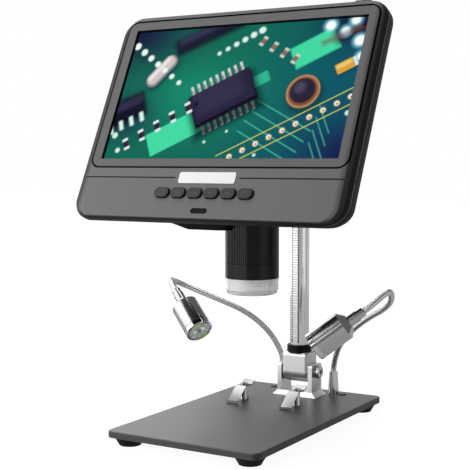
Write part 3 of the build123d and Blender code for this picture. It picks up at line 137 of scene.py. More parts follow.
def seen_share(tree, in_metal):
    """1 for the eye and through glass, the share in_metal for polished metal, and 0 for the light that falls on
    things."""
    rays = add_node(tree, "ShaderNodeLightPath")
    mirrored = add_node(
        tree, "ShaderNodeMath", {0: rays.outputs["Is Glossy Ray"], 1: in_metal}, operation="MULTIPLY"
    )
    seen = add_node(
        tree, "ShaderNodeMath", {0: rays.outputs["Is Camera Ray"], 1: mirrored.outputs[0]}, operation="MAXIMUM"
    )
    return add_node(
        tree, "ShaderNodeMath", {0: seen.outputs[0], 1: rays.outputs["Is Transmission Ray"]}, operation="MAXIMUM"
    )


tree = table.node_tree
seen = seen_share(tree, TABLE_IN_METAL)
where = add_node(tree, "ShaderNodeTexCoord")
reach = add_node(tree, "ShaderNodeVectorMath", {0: where.outputs["Object"]}, operation="LENGTH")
rise = add_node(
    tree,
    "ShaderNodeMapRange",
    {
        "Value": reach.outputs["Value"],
        "From Min": GLOW_REACH[0],
        "From Max": GLOW_REACH[1],
        "To Min": TABLE_GLOW[0],
        "To Max": TABLE_GLOW[1],
    },
)
glow = add_node(tree, "ShaderNodeMath", {0: seen.outputs[0], 1: rise.outputs[0]}, operation="MULTIPLY")
shader = tree.nodes["Principled BSDF"]
shader.inputs["Emission Color"].default_value = (1, 1, 1, 1)
tree.links.new(glow.outputs[0], shader.inputs["Emission Strength"])
studio_sheet("table", [(x * TABLE_HALF, y * TABLE_HALF, 0) for x, y in ((-1, -1), (1, -1), (1, 1), (-1, 1))], table)

world = bpy.data.worlds.new("studio")
bpy.context.scene.world = world
world.use_nodes = True
world.cycles.sampling_method = "NONE"
tree = world.node_tree
seen = seen_share(tree, ROOM_IN_METAL)
strength = add_node(tree, "ShaderNodeMath", {0: seen.outputs[0], 1: AMBIENT}, operation="MAXIMUM")
tree.nodes["Background"].inputs["Color"].default_value = (1, 1, 1, 1)
tree.links.new(strength.outputs[0], tree.nodes["Background"].inputs["Strength"])


def soft_light(name, place, aim, size, power):
    """A square soft box at a place, turned towards a point."""
    data = bpy.data.lights.new(name, "AREA")
    data.shape = "SQUARE"
    data.size = size
    data.energy = power
    lamp = bpy.data.objects.new(name, data)
    lamp.location = place
    lamp.rotation_euler = (Vector(aim) - Vector(place)).to_track_quat("-Z", "Y").to_euler()
    bpy.context.scene.collection.objects.link(lamp)


soft_light("key_light", *KEY_LIGHT)
soft_light("top_light", *TOP_LIGHT)


def reflector(name, azimuths, heights, brightness):
    """An upright white card that only polished surfaces see, between two azimuths, 0 to the front and 90 to the
    right, and between two heights."""
    card = new_material(f"{name}_white_card", "000000", 1.0)
    card.cycles.emission_sampling = "NONE"
    tree = card.node_tree
    rays = add_node(tree, "ShaderNodeLightPath")
    glow = add_node(
        tree, "ShaderNodeMath", {0: rays.outputs["Is Glossy Ray"], 1: brightness}, operation="MULTIPLY"
    )
    shader = tree.nodes["Principled BSDF"]
    shader.inputs["Emission Color"].default_value = (1, 1, 1, 1)
    tree.links.new(glow.outputs[0], shader.inputs["Emission Strength"])
    ends = np.radians(azimuths)
    x, y = CARD_DISTANCE * np.sin(ends), -CARD_DISTANCE * np.cos(ends)
    low, high = heights
    corners = [(x[0], y[0], low), (x[1], y[1], low), (x[1], y[1], high), (x[0], y[0], high)]
    sheet = studio_sheet(name, corners, card)
    sheet.visible_camera = False
    sheet.visible_diffuse = False
    sheet.visible_shadow = False


for side, card in REFLECTORS.items():
    reflector(f"{side}_reflector", *card)

# ---- Base plate and feet ---------------------------------------------------------------------
# A flat aluminium plate, bead blasted and then coated dark grey, on four black rubber feet that
# are held by screws from below. Two small screws hold the earth tags at its back edge.
BLAST_MM = 0.8  # real blasting is about 0.1 mm; drawn coarser, so that it shows
RUBBER_MM = 0.6
METAL_MM = 0.5  # blur of plated, blackened and anodised metal, and of turned plastic
POLISH_MM = 3.0  # slow waviness of polished metal
GRAIN_SPAN = (0.3, 0.7)  # values that most of the noise lies between
SMOOTHEST = 0.02  # least roughness


def surface(material, grain_mm, depth_mm, shade=0.08, wear=0.06, stretch=(1.0, 1.0, 1.0)):
    """Gives a material its grain: a noise whose cells are grain_mm across and depth_mm high, drawn out along an axis
    by stretch. The same noise makes the colour darker or lighter by the share shade, and turns the roughness up or
    down by wear while it goes through GRAIN_SPAN."""
    tree = material.node_tree
    shader = tree.nodes["Principled BSDF"]
    red, green, blue, _ = shader.inputs["Base Color"].default_value
    roughness = shader.inputs["Roughness"].default_value
    where = add_node(tree, "ShaderNodeTexCoord")
    drawn = add_node(tree, "ShaderNodeMapping", {"Vector": where.outputs["Object"], "Scale": stretch})
    noise = add_node(
        tree, "ShaderNodeTexNoise", {"Vector": drawn.outputs[0], "Scale": 1000 / grain_mm, "Detail": 2.0}
    )
    dark, light = [(red * k, green * k, blue * k, 1.0) for k in (1 - shade, 1 + shade)]
    colour = add_node(tree, "ShaderNodeMix", {0: noise.outputs["Fac"], 6: dark, 7: light}, data_type="RGBA")
    polish = add_node(
        tree,
        "ShaderNodeMapRange",
        {
            "Value": noise.outputs["Fac"],
            "From Min": GRAIN_SPAN[0],
            "From Max": GRAIN_SPAN[1],
            "To Min": max(roughness - wear, SMOOTHEST),
            "To Max": roughness + wear,
        },
    )
    bump = add_node(tree, "ShaderNodeBump", {"Height": noise.outputs["Fac"], "Distance": depth_mm / 1000})
    tree.links.new(colour.outputs[2], shader.inputs["Base Color"])
    tree.links.new(polish.outputs[0], shader.inputs["Roughness"])
    tree.links.new(bump.outputs[0], shader.inputs["Normal"])
    return material


def dress(material, *names):
    """Gives CAD nodes their material."""
    for name in names:
        nodes[name].data.materials.clear()
        nodes[name].data.materials.append(material)


# Coated bead-blasted aluminium: dark grey with a fine grain, brighter where it is seen flat along.
dress(surface(new_material("coated_blasted_aluminium", "474749", 0.4), BLAST_MM, 0.01), "base_plate")
# Moulded rubber: dull black with a soft sheen.
rubber = new_material("moulded_rubber", "121213", 0.62, Specular_IOR_Level=0.25)
dress(surface(rubber, RUBBER_MM, 0.02), "rubber_feet")
# Zinc-plated steel: light grey, slightly blurred reflections.
zinc = surface(new_material("zinc_plated_steel", "a2a3a5", 0.26, 1.0), METAL_MM, 0.004)
dress(zinc, "base_screws", "flange_screws", "neck_nuts", "usb_socket", "card_socket")
# Blackened steel: small dark screws.
blackened = surface(new_material("blackened_steel", "2a2a2c", 0.35, 0.8), METAL_MM, 0.004)
dress(blackened, "earth_screws", "case_screws")

# ---- Bracket and tilt pivot ------------------------------------------------------------------
# A U-shaped bracket of cast aluminium, blasted to a satin finish, is screwed to the plate. The
# pivot block turns between its ears on a polished bolt, and the rounded block carries the column.
CAST_MM = 0.9

# Blasted cast aluminium: pale satin metal with a fine sandy grain.
cast = surface(new_material("blasted_cast_aluminium", "e2e3e4", 0.36, 1.0), CAST_MM, 0.015, 0.05, 0.05)
dress(cast, "clevis_bracket")
# Satin cast aluminium: the same metal, ground smoother and a little darker.
satin = surface(new_material("satin_cast_aluminium", "d0d1d2", 0.38, 1.0), CAST_MM, 0.008, 0.04, 0.04)
dress(satin, "pivot_block")
# Nickel-plated bolt: bright, sharp reflections.
nickel = surface(new_material("nickel_plated_steel", "d2d2d3", 0.12, 1.0), POLISH_MM, 0.0, 0.03, 0.01)
dress(nickel, "pivot_bolt", "pivot_nut")

# ---- Column with its rack --------------------------------------------------------------------
# A drawn and polished aluminium column is pressed into the block over a black ring. A milled steel
# rack lies in its front groove, and a black cap closes its top.
DRAW_MM = 0.5
MILL_MM = 0.35
TOOTH_Y = (0.0649, 0.0656)  # where the dark of the roots begins and where it covers the teeth
DARK_ROOT_X = (0.0017, 0.0024)  # where it grows towards the ends of the teeth
DARK_ROOT_COVER = (0.12, 0.9)  # its cover in the middle of a tooth and at the ends
GREASE_AND_SHADE_HEX = "2c2c2d"

# Drawn aluminium: bright metal with fine lines along the column.
drawn = surface(
    new_material("drawn_aluminium", "e6e7e8", 0.08, 1.0), DRAW_MM, 0.0005, 0.03, 0.02, (1.0, 1.0, 0.02)
)
dress(drawn, "post")
# Milled steel: pale teeth with cutter lines across the rack.
milled = surface(new_material("milled_steel", "e6e7e8", 0.2, 1.0), MILL_MM, 0.0015, 0.04, 0.05, (0.05, 1, 1))
# The roots of the teeth are darker, more so towards their ends: partly grease and partly painted shade in the
# recesses.
tree = milled.node_tree
where = add_node(tree, "ShaderNodeTexCoord")
place = add_node(tree, "ShaderNodeSeparateXYZ", {0: where.outputs["Object"]})
in_roots = add_node(
    tree, "ShaderNodeMapRange", {"Value": place.outputs["Y"], "From Min": TOOTH_Y[0], "From Max": TOOTH_Y[1]}
)
aside = add_node(tree, "ShaderNodeMath", {0: place.outputs["X"]}, operation="ABSOLUTE")
towards_ends = add_node(
    tree,
    "ShaderNodeMapRange",
    {
        "Value": aside.outputs[0],
        "From Min": DARK_ROOT_X[0],
        "From Max": DARK_ROOT_X[1],
        "To Min": DARK_ROOT_COVER[0],
        "To Max": DARK_ROOT_COVER[1],
    },
)
dark_roots = add_node(
    tree, "ShaderNodeMath", {0: in_roots.outputs[0], 1: towards_ends.outputs[0]}, operation="MULTIPLY"
)
shader = tree.nodes["Principled BSDF"]
bare = shader.inputs["Base Color"].links[0].from_socket
roots_darkened = add_node(tree, "ShaderNodeMix", {0: dark_roots.outputs[0], 6: bare, 7: linear(GREASE_AND_SHADE_HEX)}, data_type="RGBA")
tree.links.new(roots_darkened.outputs[2], shader.inputs["Base Color"])
dress(milled, "rack")
# Turned black acetal: near-black with a low satin gloss.
acetal = surface(new_material("turned_black_acetal", "0a0a0b", 0.45, Specular_IOR_Level=0.15), METAL_MM, 0.006)
dress(acetal, "post_collar", "post_cap", "focus_knobs")

# ---- Focus drive -----------------------------------------------------------------------------
# The carriage is black anodised aluminium and slides on the column. A steel shaft with a small
# pinion crosses it, and its two ribbed knobs are turned from black plastic.
GRIND_MM = 0.4

# Black anodised aluminium: dark with soft metallic highlights.
anodised = surface(new_material("black_anodised_aluminium", "1d1d1f", 0.38, 0.5), METAL_MM, 0.006)
dress(anodised, "carriage", "lens_group")
# Hardened steel: plain grey metal with fine grinding marks.
dress(surface(new_material("hardened_steel", "8c8d8f", 0.25, 1.0), GRIND_MM, 0.003), "pinion_shaft")

# ---- Camera ----------------------------------------------------------------------------------
# A moulded black box behind the display, with a shallow lobe beside the lens, covers the camera
# board. The board lies flat above the barrel.
MOULD_MM = 0.9  # spark-eroded texture of moulded housings
TRACK_WIDTH = 0.0002  # metres
TRACK_CELL = (0.006, 0.0024)

# Moulded ABS: black with an even, fine leather-like grain.
black_abs = surface(new_material("moulded_black_abs", "0f0f10", 0.48, Specular_IOR_Level=0.15), MOULD_MM, 0.02)
dress(black_abs, "camera_housing")
# Glass-fibre circuit board under green lacquer, with copper tracks that stand out a little lighter.
board = new_material("green_circuit_board", "14482b", 0.35)
tree = board.node_tree
where = add_node(tree, "ShaderNodeTexCoord")
tracks = add_node(
    tree,
    "ShaderNodeTexBrick",
    {
        "Vector": where.outputs["Object"],
        "Color1": linear("17522f"),
        "Color2": linear("123f26"),
        "Mortar": linear("3f8a55"),
        "Scale": 1.0,
        "Mortar Size": TRACK_WIDTH,
        "Brick Width": TRACK_CELL[0],
        "Row Height": TRACK_CELL[1],
    },
)
tree.links.new(tracks.outputs["Color"], tree.nodes["Principled BSDF"].inputs["Base Color"])
dress(board, "image_sensor", "button_board", "main_board")

# ---- Lens barrel -----------------------------------------------------------------------------
# A black barrel hangs under the camera. Its focus ring has eighty fine ribs, the ring below is
# knurled, and a frosted cap of clear acrylic spreads the light of the diodes round the lens.
TURN_MM = 0.9  # real turning lines are finer; drawn coarser, so that they show

# Satin black ABS: dark with a light edge on each rib.
ribbed = surface(new_material("satin_black_abs", "0a0a0b", 0.2, Specular_IOR_Level=0.32), METAL_MM, 0.003)
dress(ribbed, "barrel_core", "focus_ring")
# Frosted acrylic: milky white under a glossy skin, with faint turning lines round it, and a faint glow that is
# painted light.
frosted = new_material(
    "frosted_acrylic",
    "f8f9fa",
    0.35,
    Transmission_Weight=0.6,
    Coat_Weight=1.0,
    Coat_Roughness=0.1,
    Coat_IOR=1.7,
    Emission_Color=(1, 1, 1, 1),
    Emission_Strength=0.05,
)
dress(surface(frosted, TURN_MM, 0.02, 0.14, 0.1, (0.04, 0.04, 1.0)), "diffuser_cap")
# White board with small diodes.
dress(surface(new_material("white_diode_board", "e4e3da", 0.45), 0.6, 0.006), "led_ring")
# Clear optical glass.
glass = new_material("optical_glass", "ffffff", 0.03, Transmission_Weight=1.0)
dress(surface(glass, POLISH_MM, 0.0, 0.0, 0.01), "objective_lens")

# ---- Display housing -------------------------------------------------------------------------
# Two black moulded shells meet at a thin line round the edge. The face of the front shell is painted dark grey over
# the
# # black, and the rounded edge and the shell behind stay black; the grey also gives way to black as painted shade on
# surfaces turned away from the light and towards the sides.
FACE_HEX = "696969"
EDGE_HEX = "0c0c0d"
PARTING_HIGHLIGHT_HEX = "d8d8d8"
SHADE_LIGHT_FROM = (-0.35, -0.55, 0.76)  # direction of the light that decides the painted shade
FACE_COVER = (0.68, 0.82)  # cosines at which the grey begins and is full on the shell; below them, painted shade
FRAME_COVER = (0.55, 0.82)  # and on the inner frame
SHADE_FADES_MM = ((104.0, 97.0), (-105.8, -99.0))  # x where the painted shade is full and where the grey is full, at each side
PAINT_GRAIN = (0.93, 1.07)  # darkest and lightest grain of the paint
PAINT_GRAIN_HEIGHT = 0.00002
GROOVE_UP_MM = -14.5  # groove across the chin, below the picture's lower edge
GROOVE_HALF_MM = 0.6
GROOVE_FLOOR_MM = 1.8  # in front of the display's glass; the face is at 2.0
PARTING_MM = 1.5  # parting line of the two shells, behind the front of the glass
PARTING_EDGE_MM = (0.5, 0.25)  # in front of that line: where the painted highlight begins and where it is full
PARTING_HIGHLIGHT_X_MM = (90.0, 104.0)  # x of no painted highlight and of full painted highlight along that edge
SCREEN_ORIGIN = np.array([0.0, -0.0537, 0.1947])  # middle of the picture's lower edge, on the front of the glass
SCREEN_TILT = np.radians(25.9)
SCREEN_RIGHT = np.array([1.0, 0.0, 0.0])
SCREEN_UP = np.array([0.0, np.sin(SCREEN_TILT), np.cos(SCREEN_TILT)])
SCREEN_OUT = np.array([0.0, -np.cos(SCREEN_TILT), np.sin(SCREEN_TILT)])


def paint_and_painted_shade(material, edge_hex, turned_to, cover_span):
    """Grey paint on what faces one way, with painted shade on what turns away: the share of the material's own
    colour rises smoothly from 0 to 1 as the cosine between the surface and turned_to goes through cover_span, and
    below it lies edge_hex. For each pair of x in the fades at the sides, it is multiplied by a share that rises
    smoothly from 0 at the first x to 1 at the second, which paints shade towards the sides."""
    tree = material.node_tree
    shader = tree.nodes["Principled BSDF"]
    red, green, blue, _ = shader.inputs["Base Color"].default_value
    where = add_node(tree, "ShaderNodeTexCoord")
    facing = add_node(
        tree, "ShaderNodeVectorMath", {0: where.outputs["Normal"], 1: turned_to}, operation="DOT_PRODUCT"
    )
    cover = add_node(
        tree,
        "ShaderNodeMapRange",
        {"Value": facing.outputs["Value"], "From Min": cover_span[0], "From Max": cover_span[1]},
        interpolation_type="SMOOTHSTEP",
    )
    place = add_node(tree, "ShaderNodeSeparateXYZ", {0: where.outputs["Object"]})
    for bare, covered in SHADE_FADES_MM:
        fade = add_node(
            tree,
            "ShaderNodeMapRange",
            {"Value": place.outputs["X"], "From Min": bare / 1000, "From Max": covered / 1000},
            interpolation_type="SMOOTHSTEP",
        )
        cover = add_node(
            tree, "ShaderNodeMath", {0: cover.outputs[0], 1: fade.outputs[0]}, operation="MULTIPLY"
        )
    noise = add_node(tree, "ShaderNodeTexNoise", {"Vector": where.outputs["Object"], "Scale": 1000 / MOULD_MM})
    dark, light = [(red * k, green * k, blue * k, 1.0) for k in PAINT_GRAIN]
    grained = add_node(tree, "ShaderNodeMix", {0: noise.outputs["Fac"], 6: dark, 7: light}, data_type="RGBA")
    colour = add_node(
        tree,
        "ShaderNodeMix",
        {0: cover.outputs[0], 6: linear(edge_hex), 7: grained.outputs[2]},
        data_type="RGBA",
    )
    bump = add_node(tree, "ShaderNodeBump", {"Height": noise.outputs["Fac"], "Distance": PAINT_GRAIN_HEIGHT})
    tree.links.new(colour.outputs[2], shader.inputs["Base Color"])
    tree.links.new(bump.outputs[0], shader.inputs["Normal"])
    return material


# Painted moulded ABS: flat dark grey with a fine grain, falling to black round the edge, where the black is partly
# bare plastic and partly painted shade.
housing = new_material("painted_moulded_abs", FACE_HEX, 0.5, Specular_IOR_Level=0.3)
paint_and_painted_shade(housing, EDGE_HEX, SHADE_LIGHT_FROM, FACE_COVER)
tree = housing.node_tree
shader = tree.nodes["Principled BSDF"]
paint_and_shade = shader.inputs["Base Color"].links[0].from_socket
where = add_node(tree, "ShaderNodeTexCoord")
place = add_node(tree, "ShaderNodeSeparateXYZ", {0: where.outputs["Object"]})
depth, height = [
    add_node(tree, "ShaderNodeVectorMath", {0: where.outputs["Object"], 1: tuple(axis)}, operation="DOT_PRODUCT")
    for axis in (SCREEN_OUT, SCREEN_UP)
]
# A light line along its sharp edge at the parting line, growing towards the right, is a painted highlight.
parting = float(SCREEN_ORIGIN @ SCREEN_OUT) - PARTING_MM / 1000
at_edge = add_node(
    tree,
    "ShaderNodeMapRange",
    {
        "Value": depth.outputs["Value"],
        "From Min": parting + PARTING_EDGE_MM[0] / 1000,
        "From Max": parting + PARTING_EDGE_MM[1] / 1000,
    },
)
toward_right = add_node(
    tree,
    "ShaderNodeMapRange",
    {"Value": place.outputs["X"], "From Min": PARTING_HIGHLIGHT_X_MM[0] / 1000, "From Max": PARTING_HIGHLIGHT_X_MM[1] / 1000},
)
parting_highlight = add_node(tree, "ShaderNodeMath", {0: at_edge.outputs[0], 1: toward_right.outputs[0]}, operation="MULTIPLY")
highlighted = add_node(
    tree, "ShaderNodeMix", {0: parting_highlight.outputs[0], 6: paint_and_shade, 7: linear(PARTING_HIGHLIGHT_HEX)}, data_type="RGBA"
)
# The floor of the groove across the chin is painted black: painted shade in the groove.
groove_up = float(SCREEN_ORIGIN @ SCREEN_UP) + GROOVE_UP_MM / 1000
beside = add_node(
    tree,
    "ShaderNodeMath",
    {0: height.outputs["Value"], 1: groove_up, 2: GROOVE_HALF_MM / 1000},
    operation="COMPARE",
)
floor = float(SCREEN_ORIGIN @ SCREEN_OUT) + GROOVE_FLOOR_MM / 1000
sunk = add_node(tree, "ShaderNodeMath", {0: depth.outputs["Value"], 1: floor}, operation="LESS_THAN")
in_groove = add_node(tree, "ShaderNodeMath", {0: beside.outputs[0], 1: sunk.outputs[0]}, operation="MULTIPLY")
grooved = add_node(
    tree,
    "ShaderNodeMix",
    {0: in_groove.outputs[0], 6: highlighted.outputs[2], 7: linear(EDGE_HEX)},
    data_type="RGBA",
)
tree.links.new(grooved.outputs[2], shader.inputs["Base Color"])
dress(housing, "front_bezel")
# Painted ABS frame: the same paint, a little duller, with the same painted shade on what turns away.
frame_paint = new_material("painted_abs_frame", FACE_HEX, 0.6, Specular_IOR_Level=0.2)
dress(paint_and_painted_shade(frame_paint, EDGE_HEX, SHADE_LIGHT_FROM, FRAME_COVER), "inner_frame")
dress(black_abs, "rear_cover")

# ---- Display ---------------------------------------------------------------------------------
# An 8.5 inch panel of liquid crystal shows what lies under the lens: here a green circuit board
# with a chip, resistors and vias, out of focus at its corners. Coated glass covers it.
PICTURE_MM = (188.2, 105.9)
PICTURE_CELLS = (400, 225)
PICTURE_DEPTH_MM = (1.195, 1.199)  # depth of the picture layer behind the glass's face, inside and at its rim
CHIP_TURN = 28  # degrees by which the board's chip, pads and tracks are turned in the picture
ROW_TURNS = (-62, 61)  # and the two rows of resistors
FAR_TURN = 24  # and the parts out of focus in the corners


def step(low, high, value):
    """0 below low and 1 above high, and t * t * (3 - 2 t) between, with t running from 0 to 1."""
    t = np.clip((value - low) / (high - low), 0, 1)
    return t * t * (3 - 2 * t)


def on_screen(right_mm, up_mm, out_mm):
    """The place in metres of points given in millimetres across, up and out of the display."""
    right_mm, up_mm, out_mm = (np.asarray(v, float)[..., None] / 1000 for v in (right_mm, up_mm, out_mm))
    return SCREEN_ORIGIN + right_mm * SCREEN_RIGHT + up_mm * SCREEN_UP + out_mm * SCREEN_OUT


def turned_frame(centre, degrees):
    """Coordinates of every picture cell along and across a direction through a centre."""
    a = np.radians(degrees)
    dx, dy = picture_x - centre[0], picture_y - centre[1]
    return dx * np.cos(a) + dy * np.sin(a), dy * np.cos(a) - dx * np.sin(a)


def slab(centre, size, degrees=0.0, blur=0.5, corner=0.0):
    """Cover of a turned rectangle: 1 inside, 0 outside, over an edge blur millimetres wide. The distance outside it
    is the length of (max(|u| - w/2 + c, 0), max(|v| - h/2 + c, 0)) - c, with c the corner radius. Where the corners
    are sharp, the distance inside it counts as negative."""
    u, v = turned_frame(centre, degrees)
    past_u, past_v = np.abs(u) - size[0] / 2, np.abs(v) - size[1] / 2
    outside = np.hypot(np.maximum(past_u + corner, 0), np.maximum(past_v + corner, 0)) - corner
    if corner == 0:
        outside += np.minimum(np.maximum(past_u, past_v), 0)
    return 1 - step(-blur / 2, blur / 2, outside)


def disc(centre, radius, blur=0.5):
    """Cover of a round spot: 1 inside, 0 outside, over an edge blur millimetres wide."""
    return 1 - step(-blur / 2, blur / 2, np.hypot(picture_x - centre[0], picture_y - centre[1]) - radius)


def lay(hex_colour, cover, strength=1.0):
    """Lays a colour over the picture where cover is 1."""
    share = (cover * strength)[..., None]
    picture[:] = picture * (1 - share) + np.array(linear(hex_colour)[:3]) * share


columns, rows = PICTURE_CELLS
picture_x, picture_y = np.meshgrid(
    np.linspace(-PICTURE_MM[0] / 2, PICTURE_MM[0] / 2, columns), np.linspace(0, PICTURE_MM[1], rows)
)
picture = np.zeros((rows, columns, 3)) + np.array(linear("0f6a56")[:3])
# lacquer that turns from green to blue towards the lower right and the top
lay("0b4f6c", step(-50, 80, picture_x - 0.4 * picture_y), 0.8)
lay("128f72", np.exp(-(((picture_x + 30) / 45) ** 2 + ((picture_y - 50) / 26) ** 2)), 0.8)
lay("151c50", np.exp(-(((picture_x - 95) / 34) ** 2 + ((picture_y - 4) / 26) ** 2)), 0.98)
lay("14183f", np.exp(-(((picture_x + 92) / 44) ** 2 + ((picture_y - 104) / 30) ** 2)), 0.98)
lay("12163c", np.exp(-(((picture_x - 92) / 36) ** 2 + ((picture_y - 104) / 20) ** 2)), 0.95)
lay("141a44", np.exp(-(((picture_x + 88) / 26) ** 2 + ((picture_y - 36) / 18) ** 2)), 0.9)
# bare copper areas under green lacquer
lay("43d9a4", slab((-38, 22), (46, 19), CHIP_TURN, 1.2))
lay("43d9a4", slab((58, 84), (34, 18), CHIP_TURN, 2.5))
lay("2fb48c", slab((18, 60), (20, 9), CHIP_TURN, 1.5))
# tracks: fine lines that run one way, with a bend
for offset in (-9, -5.5, -2, 1.5):
    lay("4cc4a0", slab((44 + offset, 30 + 2.2 * offset), (52, 0.9), 152, 0.5), 0.7)
    lay("4cc4a0", slab((76 + 0.2 * offset, 26 + 2.6 * offset), (24, 0.9), 118, 0.6), 0.6)
# the chip: a black body on silver legs, with a lit upper side and a round mark
for leg in range(9):
    u = (leg - 4) * 5.0
    a = np.radians(CHIP_TURN)
    for side in (-1, 1):
        foot = (-6 + u * np.cos(a) - side * 17.5 * np.sin(a), 48 + u * np.sin(a) + side * 17.5 * np.cos(a))
        lay("0d3f45", slab((foot[0] + 0.8, foot[1] - 0.8), (2.6, 8.0), CHIP_TURN, 1.2), 0.7)
        lay("cfd4d2", slab(foot, (2.1, 7.6), CHIP_TURN, 0.5))
        lay("8e8478", slab((foot[0], foot[1] - 1.0), (1.2, 3.0), CHIP_TURN, 0.6), 0.8)
lay("061a24", slab((-3.2, 42.6), (56, 34), CHIP_TURN, 8.0), 0.85)
lay("0e0c1f", slab((-6, 48), (50, 28), CHIP_TURN, 0.6, 1.0))
lay("25223d", slab((-6.8, 49.6), (48, 25), CHIP_TURN, 0.8, 1.0))
lay("3b3858", slab((-10.4, 51.6), (36, 18), CHIP_TURN, 9.0, 1.0), 0.7)
lay("14122a", disc((-26.5, 44.0), 1.9, 0.6))
# a round inductor with its copper winding seen at the rim
lay("0b3b44", disc((57.5, 48.5), 14.5, 5.0), 0.7)
lay("b9865a", disc((56, 51), 12.6, 0.8))
lay("7d4f33", disc((56, 51), 11.0, 2.0))
lay("2a2338", disc((55.6, 51.6), 9.4, 1.0))
lay("5a536e", disc((53.0, 54.2), 4.2, 5.0), 0.6)
# silver crystal can, with a lit edge
lay("0c3b46", slab((-62.5, 69.5), (13, 31), -38, 5.0, 6.0), 0.7)
lay("8d8688", slab((-64, 72), (12, 30), -38, 0.7, 6.0))
lay("cdc5c4", slab((-64.6, 72.6), (9.4, 27), -38, 1.5, 4.6))
lay("f2ecea", slab((-66.4, 73.4), (3.0, 23), -38, 2.4, 1.4), 0.8)
# resistors in two rows, each with silver ends
for piece in range(5):
    x, y = -78 + 11.4 * piece, 13.0 + 7.0 * piece
    a = np.radians(ROW_TURNS[0])
    for end in (-3.4, 3.4):
        tip = (x + end * np.cos(a), y + end * np.sin(a))
        lay("dfe3e2", slab(tip, (2.8, 4.6), ROW_TURNS[0], 0.6, 0.6))
    lay("2c2236", slab((x, y), (4.8, 4.6), ROW_TURNS[0], 0.6))
for piece in range(4):
    x, y = 16 + 9.5 * piece, 92.0 - 5.2 * piece
    a = np.radians(ROW_TURNS[1])
    for end in (-2.8, 2.8):
        tip = (x + end * np.cos(a), y + end * np.sin(a))
        lay("c9cfcc", slab(tip, (2.2, 3.8), ROW_TURNS[1], 0.9, 0.5))
    lay("8b6a55", slab((x, y), (3.8, 3.8), ROW_TURNS[1], 0.9))
# yellow capacitor
lay("0d3f45", slab((83.6, 67.5), (14, 9), CHIP_TURN, 3.0), 0.6)
lay("d8a23c", slab((83, 69), (13, 8), CHIP_TURN, 0.8, 0.8))
lay("f1cf74", slab((82.2, 70.4), (11, 3.2), CHIP_TURN, 1.4, 0.8), 0.8)
lay("dfe3e2", slab((90.0, 72.6), (2.4, 7.4), CHIP_TURN, 0.6))
# a row of plated holes between two printed lines, running up to the right
for hole in range(11):
    x, y = 2 + 9.0 * hole, -2 + 4.8 * hole
    lay("c9a45c", disc((x, y), 2.3, 0.5))
    lay("f6f1ea", disc((x, y), 1.7, 0.6))
    lay("7a5b3a", disc((x + 0.3, y - 0.3), 0.75, 0.5))
lay("d6d64a", slab((47, 28.2), (106, 0.7), 28.1, 0.5), 0.9)
lay("d6d64a", slab((50.2, 17.6), (106, 0.7), 28.1, 0.5), 0.9)
# blurred parts in the far corners, and bright spots of light from solder that is out of focus
lay("100d24", slab((-86, 40), (34, 22), FAR_TURN, 6.0, 3.0), 0.97)
lay("34304f", slab((-87, 45), (28, 7), FAR_TURN, 5.0, 3.0), 0.8)
for pin in range(4):
    lay("dffaf2", slab((-95 + 8.0 * pin, 24.5 + 3.5 * pin), (3.2, 8.0), FAR_TURN, 2.2, 1.0), 0.95)
lay("1c1736", slab((88, 100), (38, 14), FAR_TURN, 9.0, 3.0), 0.95)
for x, y, radius in ((66, 101, 3.6), (78, 96, 3.0), (90, 88, 3.8), (84, 104, 3.2), (93, 76, 2.6)):
    lay("8fe9ff", disc((x, y), radius + 1.6, 4.5), 0.6)
    lay("fbffff", disc((x, y), radius, 2.4), 0.97)
lay("6f4b45", slab((76, 93), (30, 4), FAR_TURN, 5.0), 0.7)
lay("15112b", slab((-30, 101), (58, 15), FAR_TURN, 7.0, 3.0), 0.96)
lay("3d3a5e", slab((-33, 104), (46, 5), FAR_TURN, 5.0, 2.0), 0.7)
for spot in range(7):
    lay("eefcf6", disc((-92 + 7.6 * spot, 94 - 5.4 * spot), 2.9 - 0.16 * spot, 1.6), 0.95)
for spot in range(6):
    lay("e4fbf3", disc((-18 + 6.2 * spot, 84 + 3.4 * spot), 1.6 + 0.22 * spot, 1.8), 0.9)
for x, y, radius in ((-90, 20, 2.4), (-84, 8, 2.0), (30, 4, 1.2), (-12, 14, 1.1), (4, 22, 1.0), (92, 34, 1.8)):
    lay("d9fff2", disc((x, y), radius, 1.2), 0.85)


def grid_mesh(name, points, wrap=False, lids=False):
    """A mesh of the four-sided cells of a grid of points. It may be closed round its second direction, and lids
    close the first and last row with one face each."""
    rows, columns = points.shape[:2]
    i = np.arange(rows * columns).reshape(rows, columns)
    beside = np.roll(i, -1, axis=1) if wrap else i[:, 1:]
    here = i if wrap else i[:, :-1]
    cells = np.stack([here[:-1], beside[:-1], beside[1:], here[1:]], axis=-1).reshape(-1, 4)
    faces = cells.tolist()
    if lids:
        faces += [i[0][::-1].tolist(), i[-1].tolist()]
    mesh = bpy.data.meshes.new(name)
    mesh.from_pydata(points.reshape(-1, 3).tolist(), [], faces)
    mesh.shade_smooth()
    piece = bpy.data.objects.new(name, mesh)
    bpy.context.scene.collection.objects.link(piece)
    return piece


front, back = PICTURE_DEPTH_MM
picture_depth = np.full(picture_x.shape, -front)
picture_depth[[0, -1], :] = -back
picture_depth[:, [0, -1]] = -back
layer = grid_mesh("display_picture", on_screen(picture_x, picture_y, picture_depth))
cell_colours = np.concatenate([np.clip(picture, 0, 1), np.ones((rows, columns, 1))], axis=-1)
attribute = layer.data.color_attributes.new("picture", "FLOAT_COLOR", "POINT")
attribute.data.foreach_set("color", cell_colours.ravel().astype(np.float32))
